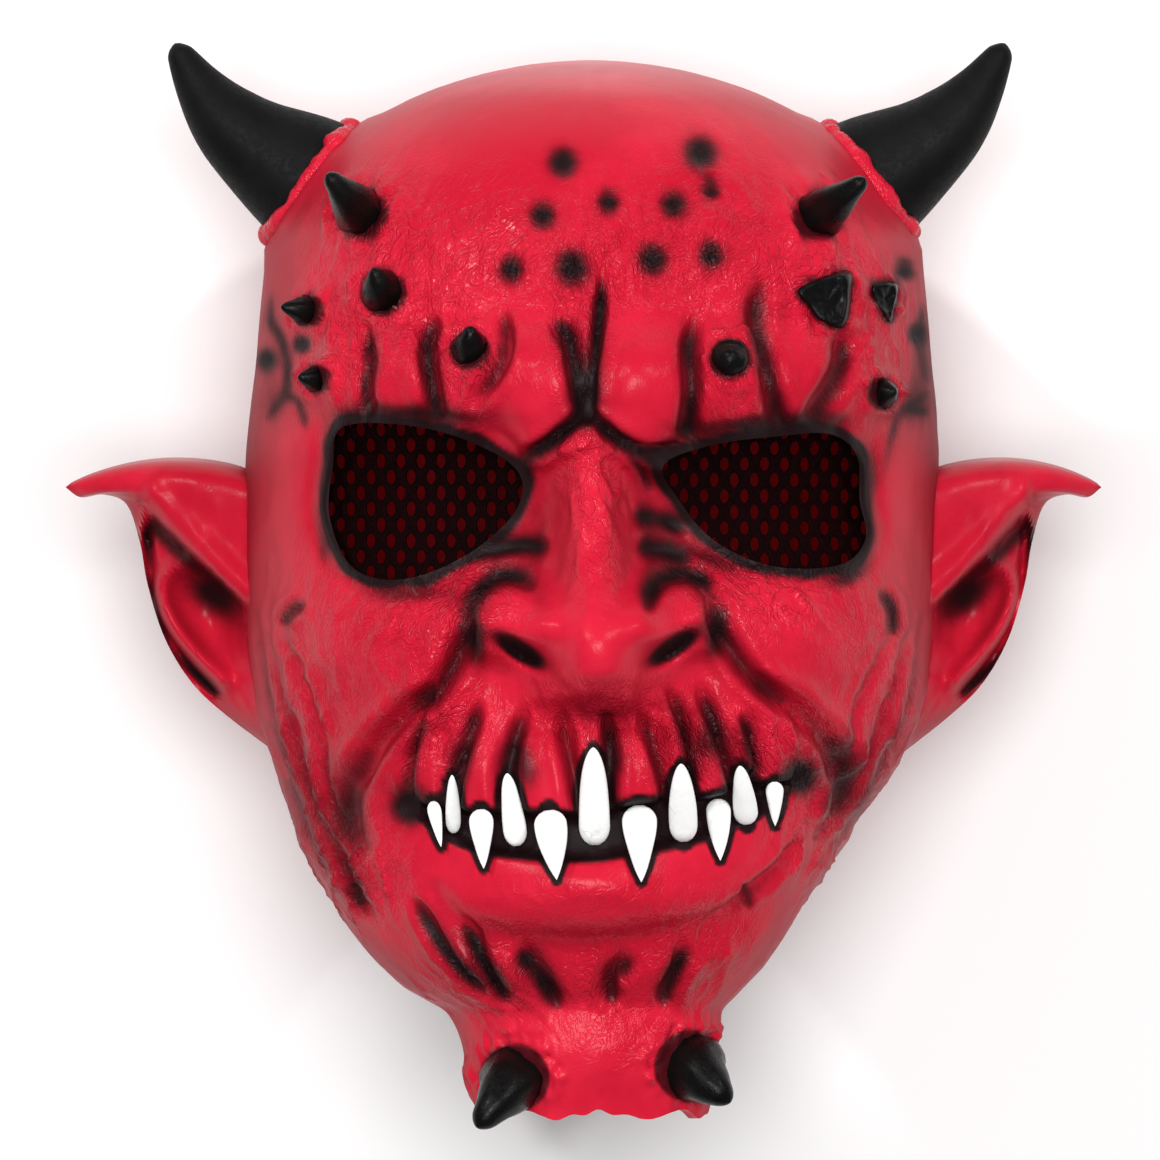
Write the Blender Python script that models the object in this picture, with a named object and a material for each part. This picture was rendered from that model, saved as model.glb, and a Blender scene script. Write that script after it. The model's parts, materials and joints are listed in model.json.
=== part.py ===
"""Overhead devil mask in latex, lying face up on the flattened back of its head.

+X is to the right of someone looking at the face, +Y runs from the chin to the crown and +Z from the
back of the head to the face. The origin is the middle of the flat spot that the mask lies on.
Sizes are in millimetres and turned into metres where a mesh is made.
"""

import math

import bmesh
import bpy
import numpy as np
from mathutils import Vector
from mathutils.bvhtree import BVHTree

MM = 0.001

# Overall sizes of the head without its ears and horns
HEAD_WIDTH = 181.0
HEAD_LENGTH = 274.0
HEAD_DEPTH = 204.0

# Sizes that stand by themselves
WALL = 2.8
FACE_WALL_EXTRA = 1.4
NET_THICKNESS = 1.2
NET_GAP = 1.4
NET_OVERLAP = 2.5
GLUE_GAP = 0.3
BACK_SOFTNESS = 5.0

# Level sections of the head, from the crown down to the hem under the chin
CROWN_Y, HEM_Y, NAPE_Y = 137.0, -137.0, -60.0
LEVEL = [137, 126, 113, 100, 85, 60, 30, 0, -30, -46, -57, -70, -83, -95, -104, -111, -122, -137]
HALF_WIDTH = [0, 48.5, 68, 78, 85.5, 88, 90.5, 90, 87, 81, 75.5, 69, 61, 53, 44.5, 35.5, 32.5, 31]
FRONT = [0, 60, 79, 89, 95.5, 99, 100, 99, 98, 96, 91, 82, 70, 57, 46, 37, 29, 24]
BACK = [0, 64, 86, 99, 108, 115, 117, 116, 109, 104, 102, 98, 88, 77, 64, 52, 38, 28]
MIDDLE_Z = [100, 104, 104, 104, 104, 104, 104, 104, 104, 106, 111, 121, 131, 141, 147, 151, 155, 158]
SIDEWAYS = [0, 0, 0, 0, 1, 1, 0.5, 0, 0, -1, -3, -5, -5.5, -5, -4, -1.5, 0, 0.5]
SQUARENESS = 2.35

# The carving was drawn on the head of this table. It stretches with the head, and walls and gaps don't
DRAWN = np.array([2 * max(HALF_WIDTH), CROWN_Y - HEM_Y, MIDDLE_Z[6] + max(FRONT)])
STRETCH = np.array([HEAD_WIDTH, HEAD_LENGTH, HEAD_DEPTH]) / DRAWN

COLUMNS, DOME_ROWS, FACE_ROWS = 72, 7, 28
LINING_COLUMNS, LINING_ROWS = 36, 12
LINING_FLATNESS = 0.85
DOME_Y = 75.0
FRONT_CROWDING = 0.48
NARROWEST_FURROW = 3.2

# Swellings: middle x, y, half-widths x, y, turn in degrees, height
BROW_LOBES = [
    (-13, 51, 9, 17, 4, 7.5), (14, 50, 11.5, 17, 0, 8), (36.5, 51, 8.5, 14, 0, 6.5),
    (55, 53, 9.5, 15, -6, 6), (-35, 49, 7, 13, 0, 5), (-49, 52, 7.5, 13, 0, 5.5),
    (-63, 49, 6, 12, 10, 4), (67, 48, 6, 11, -8, 3.5),
]
SWELLINGS = [
    (0, 54, 66, 17, 0, 5), (-43, 21, 29, 23, 8, -13), (46, 21, 29, 22, -4, -13),
    (-47, -15, 21, 22, -20, 10), (51, -13, 21, 22, 20, 10), (-66, -2, 14, 24, -12, 3),
    (70, 0, 13, 24, 12, 3), (3, -50, 44, 22, 0, 9), (3, -79, 39, 9.5, 0, 9),
    (-63, -62, 9, 22, 14, -3), (66, -56, 9, 22, -14, -3), (-1, -104, 26, 9, 0, -4),
    (0, -122, 26, 10, 0, 3), (-23.5, -6.5, 8, 8.5, 0, 13), (26, -4.5, 8, 8.5, 0, 13),
]
# Only the lining sinks under these, so that the nostrils and the mouth keep a wall
LINING_HOLLOWS = [(-18, -17, 12, 10, -33, -5), (21.5, -15.5, 12, 10, 33, -5), (3, -65, 54, 13, 0, -4)]

# The nose: height and half-width of its ridge by level, and how far it leans sideways
NOSE_LEVEL = [46, 38, 24, 8, -6, -15, -21, -26, -31, -36]
NOSE_HEIGHT = [0, 4, 11, 18, 26, 31, 30, 20, 6, 0]
NOSE_HALF_WIDTH = [7, 7, 9.5, 12, 14.5, 17, 17.5, 17, 16, 16]
NOSE_LEAN = [-1, -1, 0, 1.5, 2.5, 3, 3, 3, 3, 3]

# Furrows: start, bend and end (x, y), then half-width and depth
FURROWS = [
    (-9, 69, -4, 62, -1.5, 44, 2.4, 2.4), (3, 78, 2, 62, -0.5, 44, 1.8, 2.4),
    (-2, 45, -5, 38, -16, 33, 3.0, 3.2), (-1, 45, 4, 37, 18, 33, 3.0, 3.2),
    (-22, 70, -21, 56, -31, 46, 2.4, 2.2), (-40.5, 71, -42.5, 58, -39.5, 45, 2.4, 2.4),
    (-57.5, 68, -58, 58, -57, 47, 1.8, 2.0), (28, 69, 24, 58, 27, 41, 2.3, 2.4),
    (43.5, 78, 42, 66, 46.5, 48, 2.4, 2.4), (63, 64, 66, 56, 60, 46, 2.2, 2.2),
    (-29, -4, -31, -27, -44, -32, 3.6, 3.4), (-44, -32, -57, -38, -56.5, -60, 3.8, 3.0),
    (30, -4, 33, -24, 47, -31, 3.4, 3.4), (47, -31, 64, -37, 64.5, -56, 3.8, 3.0),
    (-45, -80, -38, -94, -28, -105, 2.2, 2.4), (-33, -86, -28, -98, -20, -108, 2.2, 2.4),
    (-19, -95, -14, -104, -8, -110, 3.0, 2.4), (11, -96, 4, -100, 5, -108, 3.2, 2.4),
    (26, -92, 22, -100, 18, -109, 2.6, 2.4), (-41, -72, -30, -92, 0, -93.5, 3.2, 3.0),
    (0, -93.5, 32, -93, 47, -74, 3.2, 3.0), (-29.5, -4, -25, 3.5, -15, -1, 2.2, 3.0),
    (14.5, -6, 17, 3, 27, 1, 2.2, 3.0), (-81, -6, -80, -40, -66, -84, 2.2, 2.0),
    (-77, -40, -70, -62, -58, -86, 2.2, 2.0), (75, -2, 72, -38, 56, -70, 2.4, 2.2),
    (73, -38, 70, -62, 52, -82, 2.2, 2.0),
]
LIP_FURROWS = 9
LIP_TOP_Y, LIP_FOOT_Y, LIP_SPREAD = -33.0, -51.0, 86.0
MOUTH = (-49, -57, 0, -73, 54, -50)
MOUTH_HALF_WIDTH, MOUTH_DEPTH = 5.5, 5.5
NOSTRILS = [(-18.3, -17.5, -33), (21.5, -15.5, 33)]
NOSTRIL_HALF_LENGTH, NOSTRIL_HALF_WIDTH, NOSTRIL_DEPTH = 7.0, 2.8, 9.0

# Outlines of the eye openings, each point once, joined by a smooth closed curve
EYE_LEFT = [
    (-64, 40.8), (-47, 41.2), (-31, 37), (-18.7, 29.4), (-19, 19.5), (-31, 8.3), (-47.5, 1.6),
    (-61, 4.2), (-67.4, 17.5), (-66.5, 31),
]
EYE_RIGHT = [
    (19, 31), (31.5, 36.1), (48.6, 38.4), (62, 39), (69, 33.5), (69.8, 22), (71.3, 12), (64.5, 5.2),
    (47, 4.9), (32, 11.5), (22.6, 22.5),
]
EYE_CUT_FROM, EYE_CUT_TO = 120.0, 240.0
EYE_SIDES = 26
LID_RISE, LID_HALF_WIDTH = 2.6, 3.0

# Ears: outward and up, the rim runs from the lobe up to the tip, and the fold crosses the ear on a slant
EAR_RIM = [
    (79, -46), (95, -34), (104, -25.5), (111, -14), (115.5, 0), (117.5, 11), (121, 21), (128, 24.3),
    (137, 25.5),
]
EAR_TOP_BOW = 5.0
EAR_ROOT_TOP_Y = 33.0
EAR_ROOT_Z = 112.0
EAR_SINK = 2.2
EAR_FRONT_Z, EAR_EDGE_Z, EAR_BACK_Z = 124.0, 101.0, 90.0
EAR_LEAN_BACK = 20.0
EAR_FOLD_OUT, EAR_FOLD_UP, EAR_FOLD_SLOPE = 91.3, -4.4, 0.966
EAR_FOLD_RISE, EAR_HOLLOW_DROP = 4.0, 4.0
EAR_HOLLOW = (99, -8, 11, 16, -28, -11)
EAR_FOLD_SOFTNESS = 5.0
EAR_ROWS, EAR_STEPS = 13, 8
RIGHT_EAR_REACH = 0.93

# Horns: centre line from base to tip and the radius at each point
HORN_LINE = [
    (-58, 95, 108), (-74, 105.8, 114), (-88.1, 115.2, 118), (-95.4, 121.7, 119.5), (-101.8, 129.9, 120.5),
    (-106.2, 137, 121), (-107.6, 139.8, 121),
]
HORN_RADIUS = [19.5, 17, 11.8, 9.3, 6.1, 3.4, 2.0]
HORN_SIDES, HORN_RINGS = 14, 9
COLLAR_RISE, COLLAR_WIDTH = 3.2, 5.0

# Spikes: base x, y, then tip x, y, how far the tip stands up, base radius, tip radius
SPIKES = {
    "temple_left": (-59, 96, -67.8, 106, 18, 7.0, 1.6),
    "brow_left": (-53.3, 75.5, -55.5, 80, 11, 6.2, 0.9),
    "side_left_upper": (-73, 71, -80, 72, 6, 4.4, 0.8),
    "side_left_lower": (-70.5, 53.3, -75.5, 53.8, 6, 3.8, 0.8),
    "middle_left": (-31, 61, -30.8, 65.5, 8, 5.2, 1.0),
    "temple_right": (59, 95.5, 71, 104.8, 18, 6.8, 1.6),
    "side_right_lower": (75.5, 49.5, 79.2, 50.2, 6.5, 4.2, 0.8),
    "chin_left": (-19, -128, -28.6, -140, 13, 8.2, 1.8),
    "chin_right": (26, -125, 36, -134, 12, 8.6, 1.8),
}
# Spikes that broke off: outline of the stump in the plane of the face, and how far it stands up
STUMPS = {
    "brow_right": (
        [(53.8, 76.7), (66, 80.6), (67.1, 75.1), (65.3, 67.1), (59.5, 68.4), (56.7, 72)], 4.0,
    ),
    "side_right_upper": (
        [(73.1, 77.6), (79.3, 77.6), (78.7, 71.5), (77.5, 68.4), (74.4, 72.8)], 3.0,
    ),
    "middle_right": (
        [(30.8, 58.5), (33.5, 62.2), (38.5, 62.2), (41.6, 58.5), (38.5, 54.8), (33.5, 54.8)], 2.0,
    ),
}
SPIKE_SUNK = 2.4
SPIKE_SIDES = 7

# Teeth: middle of the root x, y, tip x, y and half-width
TEETH = [
    (-40.6, -55.8, -38.4, -67.5, 1.7), (-35.2, -64, -35.6, -49, 1.9), (-28.2, -57.8, -27.4, -73, 3.0),
    (-18.8, -67.2, -21.4, -48.5, 2.9), (-10.6, -58, -8.6, -75.8, 4.2), (1.2, -67, 0.8, -41.8, 4.0),
    (12.6, -56.8, 13.2, -76.4, 4.3), (24.2, -66.2, 23.4, -46, 3.6), (33, -55.2, 33.6, -71, 3.2),
    (40.6, -61.8, 38.6, -46.6, 3.0), (47.6, -50.8, 47.8, -62.2, 2.2),
]
TOOTH_FLATNESS = 0.8
TOOTH_SIDES = 6

LATEX_RED = (0.55, 0.012, 0.03)
HORN_BLACK = (0.012, 0.012, 0.013)
NET_BLACK = (0.03, 0.004, 0.006)


def clear_scene():
    for obj in list(bpy.data.objects):
        bpy.data.objects.remove(obj, do_unlink=True)


def smooth_step(low, high, value):
    share = np.clip((value - low) / (high - low), 0, 1)
    return share * share * (3 - 2 * share)


def curve_through(places, values, at):
    """Smooth curve through values at descending places, read at any other place."""
    places = -np.array(places, float)
    values = np.array(values, float)
    at = np.clip(-np.asarray(at, float), places[0], places[-1])
    step = np.diff(places)
    rise = np.diff(values) / step
    slope = np.zeros(len(places))
    before, after = rise[:-1], rise[1:]
    slope[1:-1] = np.where(before * after > 0, 2 * before * after / (before + after + 1e-12), 0)
    slope[0], slope[-1] = rise[0], rise[-1]
    i = np.clip(np.searchsorted(places, at, side="right") - 1, 0, len(step) - 1)
    t = (at - places[i]) / step[i]
    return (
        values[i] * (1 + 2 * t) * (1 - t) ** 2
        + slope[i] * step[i] * t * (1 - t) ** 2
        + values[i + 1] * t * t * (3 - 2 * t)
        + slope[i + 1] * step[i] * t * t * (t - 1)
    )


def rounded_curve(values, y):
    """As curve_through on the levels, but rounded at the crown, where the section closes to a point."""
    return np.sqrt(np.clip(curve_through(LEVEL, np.square(np.array(values, float)), y), 0, None))


def bent_line(stroke, count=14):
    """Points along a quadratic curve given as start, bend and end."""
    t = np.linspace(0, 1, count)[:, None]
    a, b, c = (np.array(stroke[k : k + 2], float) for k in (0, 2, 4))
    return (1 - t) ** 2 * a + 2 * t * (1 - t) * b + t * t * c


def near_line(x, y, line):
    """Distance from each point to a run of short lengths, and how far along it the nearest place is."""
    best = np.full(x.shape, 1e9)
    along = np.zeros(x.shape)
    for k in range(len(line) - 1):
        a, d = line[k], line[k + 1] - line[k]
        t = np.clip(((x - a[0]) * d[0] + (y - a[1]) * d[1]) / (d @ d), 0, 1)
        away = np.hypot(x - a[0] - t * d[0], y - a[1] - t * d[1])
        closer = away < best
        best = np.where(closer, away, best)
        along = np.where(closer, (k + t) / (len(line) - 1), along)
    return best, along


def furrow(x, y, stroke, half_width, depth):
    """A bent valley that tapers at both ends, with a soft shoulder on each side."""
    away, along = near_line(x, y, bent_line(stroke))
    taper = np.clip(4 * along * (1 - along), 0, 1) ** 0.5
    wide = np.maximum(half_width * (0.6 + 0.4 * taper), NARROWEST_FURROW)
    valley = np.exp(-((away / wide) ** 2))
    shoulder = np.exp(-(((away - 2.0 * wide) / (0.9 * wide)) ** 2))
    return depth * taper * (0.28 * shoulder - valley)


def swelling(x, y, middle_x, middle_y, half_x, half_y, turn, height):
    """A soft bump, or a hollow where the height is negative."""
    c, s = math.cos(math.radians(turn)), math.sin(math.radians(turn))
    u = ((x - middle_x) * c + (y - middle_y) * s) / half_x
    v = ((y - middle_y) * c - (x - middle_x) * s) / half_y
    return height * np.exp(-(u * u + v * v))


def nose(x, y):
    high = curve_through(NOSE_LEVEL, NOSE_HEIGHT, y)
    wide = curve_through(NOSE_LEVEL, NOSE_HALF_WIDTH, y)
    lean = curve_through(NOSE_LEVEL, NOSE_LEAN, y)
    return high * np.exp(-(np.abs((x - lean) / wide) ** 2.6))


def nostril(x, y, middle_x, middle_y, turn):
    c, s = math.cos(math.radians(turn)), math.sin(math.radians(turn))
    u = ((x - middle_x) * c + (y - middle_y) * s) / NOSTRIL_HALF_LENGTH
    v = ((y - middle_y) * c - (x - middle_x) * s) / NOSTRIL_HALF_WIDTH
    return -NOSTRIL_DEPTH * np.exp(-((u * u + v * v) ** 1.5))


def closed_curve(points, count):
    """Smooth closed curve through the points, each passed once."""
    points = np.array(points, float)
    around = len(points)
    place = np.linspace(0, around, count, endpoint=False)
    i = place.astype(int)
    t = (place - i)[:, None]
    p0, p1, p2, p3 = (points[(i + k) % around] for k in (-1, 0, 1, 2))
    return 0.5 * (
        2 * p1 + (p2 - p0) * t + (2 * p0 - 5 * p1 + 4 * p2 - p3) * t**2 + (3 * p1 - p0 - 3 * p2 + p3) * t**3
    )


def lid(x, y, outline):
    """The raised rim round an eye opening."""
    loop = closed_curve(outline, 40)
    away, _ = near_line(x, y, np.vstack([loop, loop[:1]]))
    return LID_RISE * np.exp(-((away / LID_HALF_WIDTH) ** 2))


def broad_relief(x, y):
    """The big forms of the face, which the inside of the latex follows too."""
    relief = nose(x, y)
    for form in SWELLINGS + BROW_LOBES:
        relief = relief + swelling(x, y, *form)
    return relief


def lining_relief(x, y):
    """The same forms a little flatter, with room for the pits that only the outside has."""
    relief = LINING_FLATNESS * broad_relief(x, y)
    for form in LINING_HOLLOWS:
        relief = relief + swelling(x, y, *form)
    return relief


def lip_furrows():
    """The furrows that fan from under the nose to the teeth."""
    for k in range(LIP_FURROWS):
        share = (k + 0.5) / LIP_FURROWS - 0.5
        foot_x = 3 + share * LIP_SPREAD
        foot_y = LIP_FOOT_Y + 14 * share * share
        top_x = 4 + share * LIP_SPREAD * 0.72
        top_y = LIP_TOP_Y - 8 * abs(share)
        yield (top_x, top_y, 0.5 * (top_x + foot_x) + 4 * share, 0.5 * (top_y + foot_y), foot_x, foot_y)


def fine_relief(x, y):
    """Furrows, lids, nostrils and the mouth, which stay in the outer skin."""
    relief = np.zeros_like(x)
    for stroke in FURROWS:
        relief = relief + furrow(x, y, stroke[:6], stroke[6], stroke[7])
    for stroke in lip_furrows():
        relief = relief + furrow(x, y, stroke, 1.9, 2.2)
    for outline in (EYE_LEFT, EYE_RIGHT):
        relief = relief + lid(x, y, outline)
    for pit in NOSTRILS:
        relief = relief + nostril(x, y, *pit)
    away, along = near_line(x, y, bent_line(MOUTH))
    taper = np.clip(6 * along * (1 - along), 0, 1) ** 0.5
    return relief - MOUTH_DEPTH * taper * np.exp(-((away / MOUTH_HALF_WIDTH) ** 2))


def collar(points):
    """A ring of skin raised round the foot of each big horn."""
    rise = np.zeros(points.shape[:-1])
    for side in (1, -1):
        centre = np.array(HORN_LINE[0]) * (side, 1, 1)
        axis = np.array(HORN_LINE[1]) * (side, 1, 1) - centre
        axis = axis / np.linalg.norm(axis)
        away = points - centre
        radial = np.linalg.norm(away - (away @ axis)[..., None] * axis, axis=-1)
        ring = np.exp(-(((radial - HORN_RADIUS[0]) / COLLAR_WIDTH) ** 2))
        rise = rise + COLLAR_RISE * ring * ((away @ axis) > -HORN_RADIUS[0])
    return rise


def plain_head(turn, y):
    """The smooth head: a level ring at each height, flattened where it lies."""
    s, c = np.sin(turn), np.cos(turn)
    out = (np.abs(s) ** SQUARENESS + np.abs(c) ** SQUARENESS) ** (-1 / SQUARENESS)
    depth = np.where(c > 0, rounded_curve(FRONT, y), rounded_curve(BACK, y))
    x = curve_through(LEVEL, SIDEWAYS, y) + rounded_curve(HALF_WIDTH, y) * s * out
    z = curve_through(LEVEL, MIDDLE_Z, y) + depth * c * out
    z = (z + np.sqrt(z * z + BACK_SOFTNESS**2)) / 2
    return np.stack([x, y, np.maximum(z - 1.0, 0)], axis=-1)


def hem_y(turn):
    """Height of the hem: level under the chin, then slanting back up to the nape."""
    back = smooth_step(math.radians(62), math.pi, np.abs(turn))
    return HEM_Y + (NAPE_Y - HEM_Y) * back


def surface(turn, y, relief):
    """The skin at each turn and height: the smooth head pushed out by a relief, then stretched."""
    points = plain_head(turn, y)
    facing = smooth_step(0.02, 0.5, np.cos(turn))
    points[..., 2] += relief(points[..., 0], points[..., 1]) * facing
    return points * STRETCH


def outward(turn, y, relief):
    """Unit normals of the surface, from its slopes along both directions."""
    nudge, down = 0.004, 0.6
    across = surface(turn + nudge, y, relief) - surface(turn - nudge, y, relief)
    along = surface(turn, y - down, relief) - surface(turn, y + down, relief)
    normal = np.cross(along, across)
    length = np.linalg.norm(normal, axis=-1, keepdims=True)
    return normal / np.maximum(length, 1e-9)


def turns(count):
    """Turn of each column round the head, crowded towards the face."""
    place = np.linspace(-1, 1, count, endpoint=False)
    return math.pi * (FRONT_CROWDING * place + (1 - FRONT_CROWDING) * place**3)


def heights(turn, dome_rows, face_rows):
    """Height of each row under the crown: a dome, then even steps down to the hem."""
    dome = CROWN_Y - (CROWN_Y - DOME_Y) * (1 - np.cos(np.linspace(0, math.pi / 2, dome_rows + 1)[1:]))
    share = np.linspace(0, 1, face_rows + 1)[1:]
    face = DOME_Y + share[:, None] * (hem_y(turn) - DOME_Y)[None, :]
    return np.vstack([np.repeat(dome[:, None], len(turn), axis=1), face])


def carved(x, y):
    return broad_relief(x, y) + fine_relief(x, y)


def outer_grid(columns, dome_rows, face_rows):
    turn = turns(columns)
    y = heights(turn, dome_rows, face_rows)
    turn = np.broadcast_to(turn, y.shape)
    points = surface(turn, y, carved)
    normal = outward(turn, y, carved)
    return points + normal * collar(points / STRETCH)[..., None], normal


def inner_grid():
    """The inside of the latex, one wall under the broad forms. Returns its points and normals."""
    turn = turns(LINING_COLUMNS)
    dome_rows = LINING_ROWS // 3
    y = heights(turn, dome_rows, LINING_ROWS - dome_rows)
    turn = np.broadcast_to(turn, y.shape)
    normal = outward(turn, y, lining_relief)
    thick = WALL + FACE_WALL_EXTRA * smooth_step(0.0, 0.6, np.cos(turn))
    points = surface(turn, y, lining_relief) - normal * thick[..., None]
    hem = surface(turn[-1], y[-1], broad_relief)
    points[-1] = hem - outward(turn[-1], y[-1], broad_relief) * WALL
    points[-1, :, 1] = hem[:, 1]
    return points, normal


def ring_faces(first, second, flip=False):
    """Triangles between two closed rings of vertices given by their numbers."""
    count = len(first)
    for k in range(count):
        n = (k + 1) % count
        for face in ((first[k], second[k], second[n]), (first[k], second[n], first[n])):
            yield face[::-1] if flip else face


def halving_faces(full, half):
    """Triangles between a ring and one of half as many vertices."""
    count = len(half)
    for k in range(count):
        n = (k + 1) % count
        a, b, c = full[2 * k], full[2 * k + 1], full[(2 * k + 2) % len(full)]
        yield (a, half[k], b)
        yield (b, half[k], half[n])
        yield (b, half[n], c)


def fan_faces(apex, ring, flip=False):
    for k in range(len(ring)):
        face = (apex, ring[k], ring[(k + 1) % len(ring)])
        yield face[::-1] if flip else face


def in_metres(points):
    return np.asarray(points, float).reshape(-1, 3) * MM


def stretched(points):
    return in_metres(points) * STRETCH


def make_object(name, points, faces, colour, roughness=0.5):
    mesh = bpy.data.meshes.new(name)
    mesh.from_pydata([tuple(p) for p in points], [], [tuple(int(v) for v in f) for f in faces])
    work = bmesh.new()
    work.from_mesh(mesh)
    bmesh.ops.recalc_face_normals(work, faces=work.faces)
    work.to_mesh(mesh)
    work.free()
    mesh.shade_smooth()
    material = bpy.data.materials.new(name)
    material.use_nodes = True
    shader = material.node_tree.nodes["Principled BSDF"]
    shader.inputs["Base Color"].default_value = (*colour, 1)
    shader.inputs["Roughness"].default_value = roughness
    mesh.materials.append(material)
    obj = bpy.data.objects.new(name, mesh)
    bpy.context.scene.collection.objects.link(obj)
    return obj


def with_boolean(obj, other, operation):
    """Joins another closed mesh to this one, or cuts it away, and removes the other."""
    modifier = obj.modifiers.new(operation.lower(), "BOOLEAN")
    modifier.operation = operation
    modifier.object = other
    modifier.solver = "EXACT"
    bpy.context.view_layer.update()
    evaluated = obj.evaluated_get(bpy.context.evaluated_depsgraph_get())
    mesh = bpy.data.meshes.new_from_object(evaluated)
    obj.modifiers.remove(modifier)
    obj.data = mesh
    bpy.data.objects.remove(other, do_unlink=True)
    return obj


def head_shell():
    """The hollow head: the carved outside and the lining, joined round the hem."""
    outside, _ = outer_grid(COLUMNS, DOME_ROWS, FACE_ROWS)
    inside, _ = inner_grid()
    crown = np.array([0.0, CROWN_Y, MIDDLE_Z[0]]) * STRETCH
    inner_crown = crown - (0, WALL, 0)
    points = np.vstack([crown[None], outside.reshape(-1, 3), inner_crown[None], inside.reshape(-1, 3)])
    rows_out, rows_in = len(outside), len(inside)
    out_ring = [1 + r * COLUMNS + np.arange(COLUMNS) for r in range(rows_out)]
    start = 2 + rows_out * COLUMNS
    in_ring = [start + r * LINING_COLUMNS + np.arange(LINING_COLUMNS) for r in range(rows_in)]
    faces = list(fan_faces(0, out_ring[0]))
    for r in range(rows_out - 1):
        faces += ring_faces(out_ring[r], out_ring[r + 1])
    faces += halving_faces(out_ring[-1], in_ring[-1])
    for r in range(rows_in - 1, 0, -1):
        faces += ring_faces(in_ring[r], in_ring[r - 1])
    faces += fan_faces(start - 1, in_ring[0], flip=True)
    return make_object("latex_head", in_metres(points), faces, LATEX_RED, 0.4)


def prism(outline, low_z, high_z):
    """A closed upright prism on a flat outline, as points and faces."""
    count = len(outline)
    low = np.column_stack([outline, np.full(count, low_z)])
    high = np.column_stack([outline, np.full(count, high_z)])
    faces = list(ring_faces(np.arange(count), count + np.arange(count)))
    faces += [tuple(range(count)), tuple(range(2 * count - 1, count - 1, -1))]
    return np.vstack([low, high]), faces


def eye_cutter(name, outline):
    points, faces = prism(closed_curve(outline, EYE_SIDES), EYE_CUT_FROM, EYE_CUT_TO)
    return make_object(name, stretched(points), faces, NET_BLACK)


def tube(line, radius, sides, flat=1.0):
    """A closed tapering tube along points, with a point at its far end. flat squeezes it along Z."""
    line = np.array(line, float)
    tangent = np.gradient(line, axis=0)
    tangent /= np.linalg.norm(tangent, axis=1, keepdims=True)
    guide = np.array([0.0, 0.0, 1.0])
    if abs(tangent[0] @ guide) > 0.9:
        guide = np.array([0.0, 1.0, 0.0])
    side = np.cross(tangent, guide)
    side /= np.linalg.norm(side, axis=1, keepdims=True)
    other = np.cross(side, tangent)
    angle = np.linspace(0, 2 * math.pi, sides, endpoint=False)
    rings = line[:, None] + np.array(radius)[:, None, None] * (
        np.cos(angle)[None, :, None] * side[:, None] + flat * np.sin(angle)[None, :, None] * other[:, None]
    )
    tip = line[-1] + tangent[-1] * radius[-1] * 0.8
    points = np.vstack([rings.reshape(-1, 3), tip[None]])
    faces = [tuple(range(sides))[::-1]]
    for r in range(len(line) - 1):
        faces += ring_faces(r * sides + np.arange(sides), (r + 1) * sides + np.arange(sides))
    last = (len(line) - 1) * sides + np.arange(sides)
    faces += [(last[k], len(points) - 1, last[(k + 1) % sides]) for k in range(sides)]
    return points, faces


def smooth_line(points, values, count):
    """Even points along a smooth open curve, and the values that go with them."""
    points, values = np.array(points, float), np.array(values, float)
    place = np.linspace(0, len(points) - 1, count)
    keys = -np.arange(len(points), dtype=float)
    line = np.column_stack([curve_through(keys, points[:, k], -place) for k in range(points.shape[1])])
    return line, curve_through(keys, values, -place)


def skin_height(tree, x, y):
    """Height of the outer skin over a place, read from the carved head itself."""
    sx, sy, _ = np.array([x, y, 0.0]) * STRETCH * MM
    hit = tree.ray_cast(Vector((sx, sy, 1.0)), Vector((0, 0, -1)))
    return hit[0].z / (STRETCH[2] * MM)


def spike(tree, name, base_x, base_y, tip_x, tip_y, rise, base_radius, tip_radius):
    """A bent cone: it stands out of the skin, then its tip leans over."""
    z = skin_height(tree, base_x, base_y)
    line = [
        (base_x, base_y, z - SPIKE_SUNK),
        (base_x + 0.22 * (tip_x - base_x), base_y + 0.22 * (tip_y - base_y), z + 0.35 * rise),
        (base_x + 0.55 * (tip_x - base_x), base_y + 0.55 * (tip_y - base_y), z + 0.72 * rise),
        (tip_x, tip_y, z + rise),
    ]
    radius = [base_radius, base_radius * 0.82, base_radius * 0.5 + tip_radius * 0.2, tip_radius]
    points, faces = tube(line, radius, SPIKE_SIDES)
    return make_object(name, stretched(points), faces, HORN_BLACK)


def stump(tree, name, outline, rise):
    """A broken spike: a low block on its outline, a little narrower at the break."""
    outline = np.array(outline, float)
    middle = outline.mean(axis=0)
    z = skin_height(tree, *middle)
    wide, narrow = middle + 1.06 * (outline - middle), middle + 0.9 * (outline - middle)
    points, faces = prism(wide, z - SPIKE_SUNK, z + rise)
    points[len(outline) :, :2] = narrow
    return make_object(name, stretched(points), faces, HORN_BLACK)


def tooth(tree, name, root_x, root_y, tip_x, tip_y, half_width):
    """A pointed tooth lying on the lips, half sunk in the skin."""
    share = np.array([0.0, 0.12, 0.5, 1.0])
    radius = half_width * np.array([0.6, 0.97, 0.9, 0.14])
    x = root_x + share * (tip_x - root_x)
    y = root_y + share * (tip_y - root_y)
    z = np.array([skin_height(tree, a, b) for a, b in zip(x, y)])
    z = np.linspace(z[0], z[-1], len(z)) + 0.4 - 0.15 * radius
    points, faces = tube(np.column_stack([x, y, z]), radius, TOOTH_SIDES, flat=TOOTH_FLATNESS)
    return make_object(name, stretched(points), faces, (0.8, 0.8, 0.76))


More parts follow.
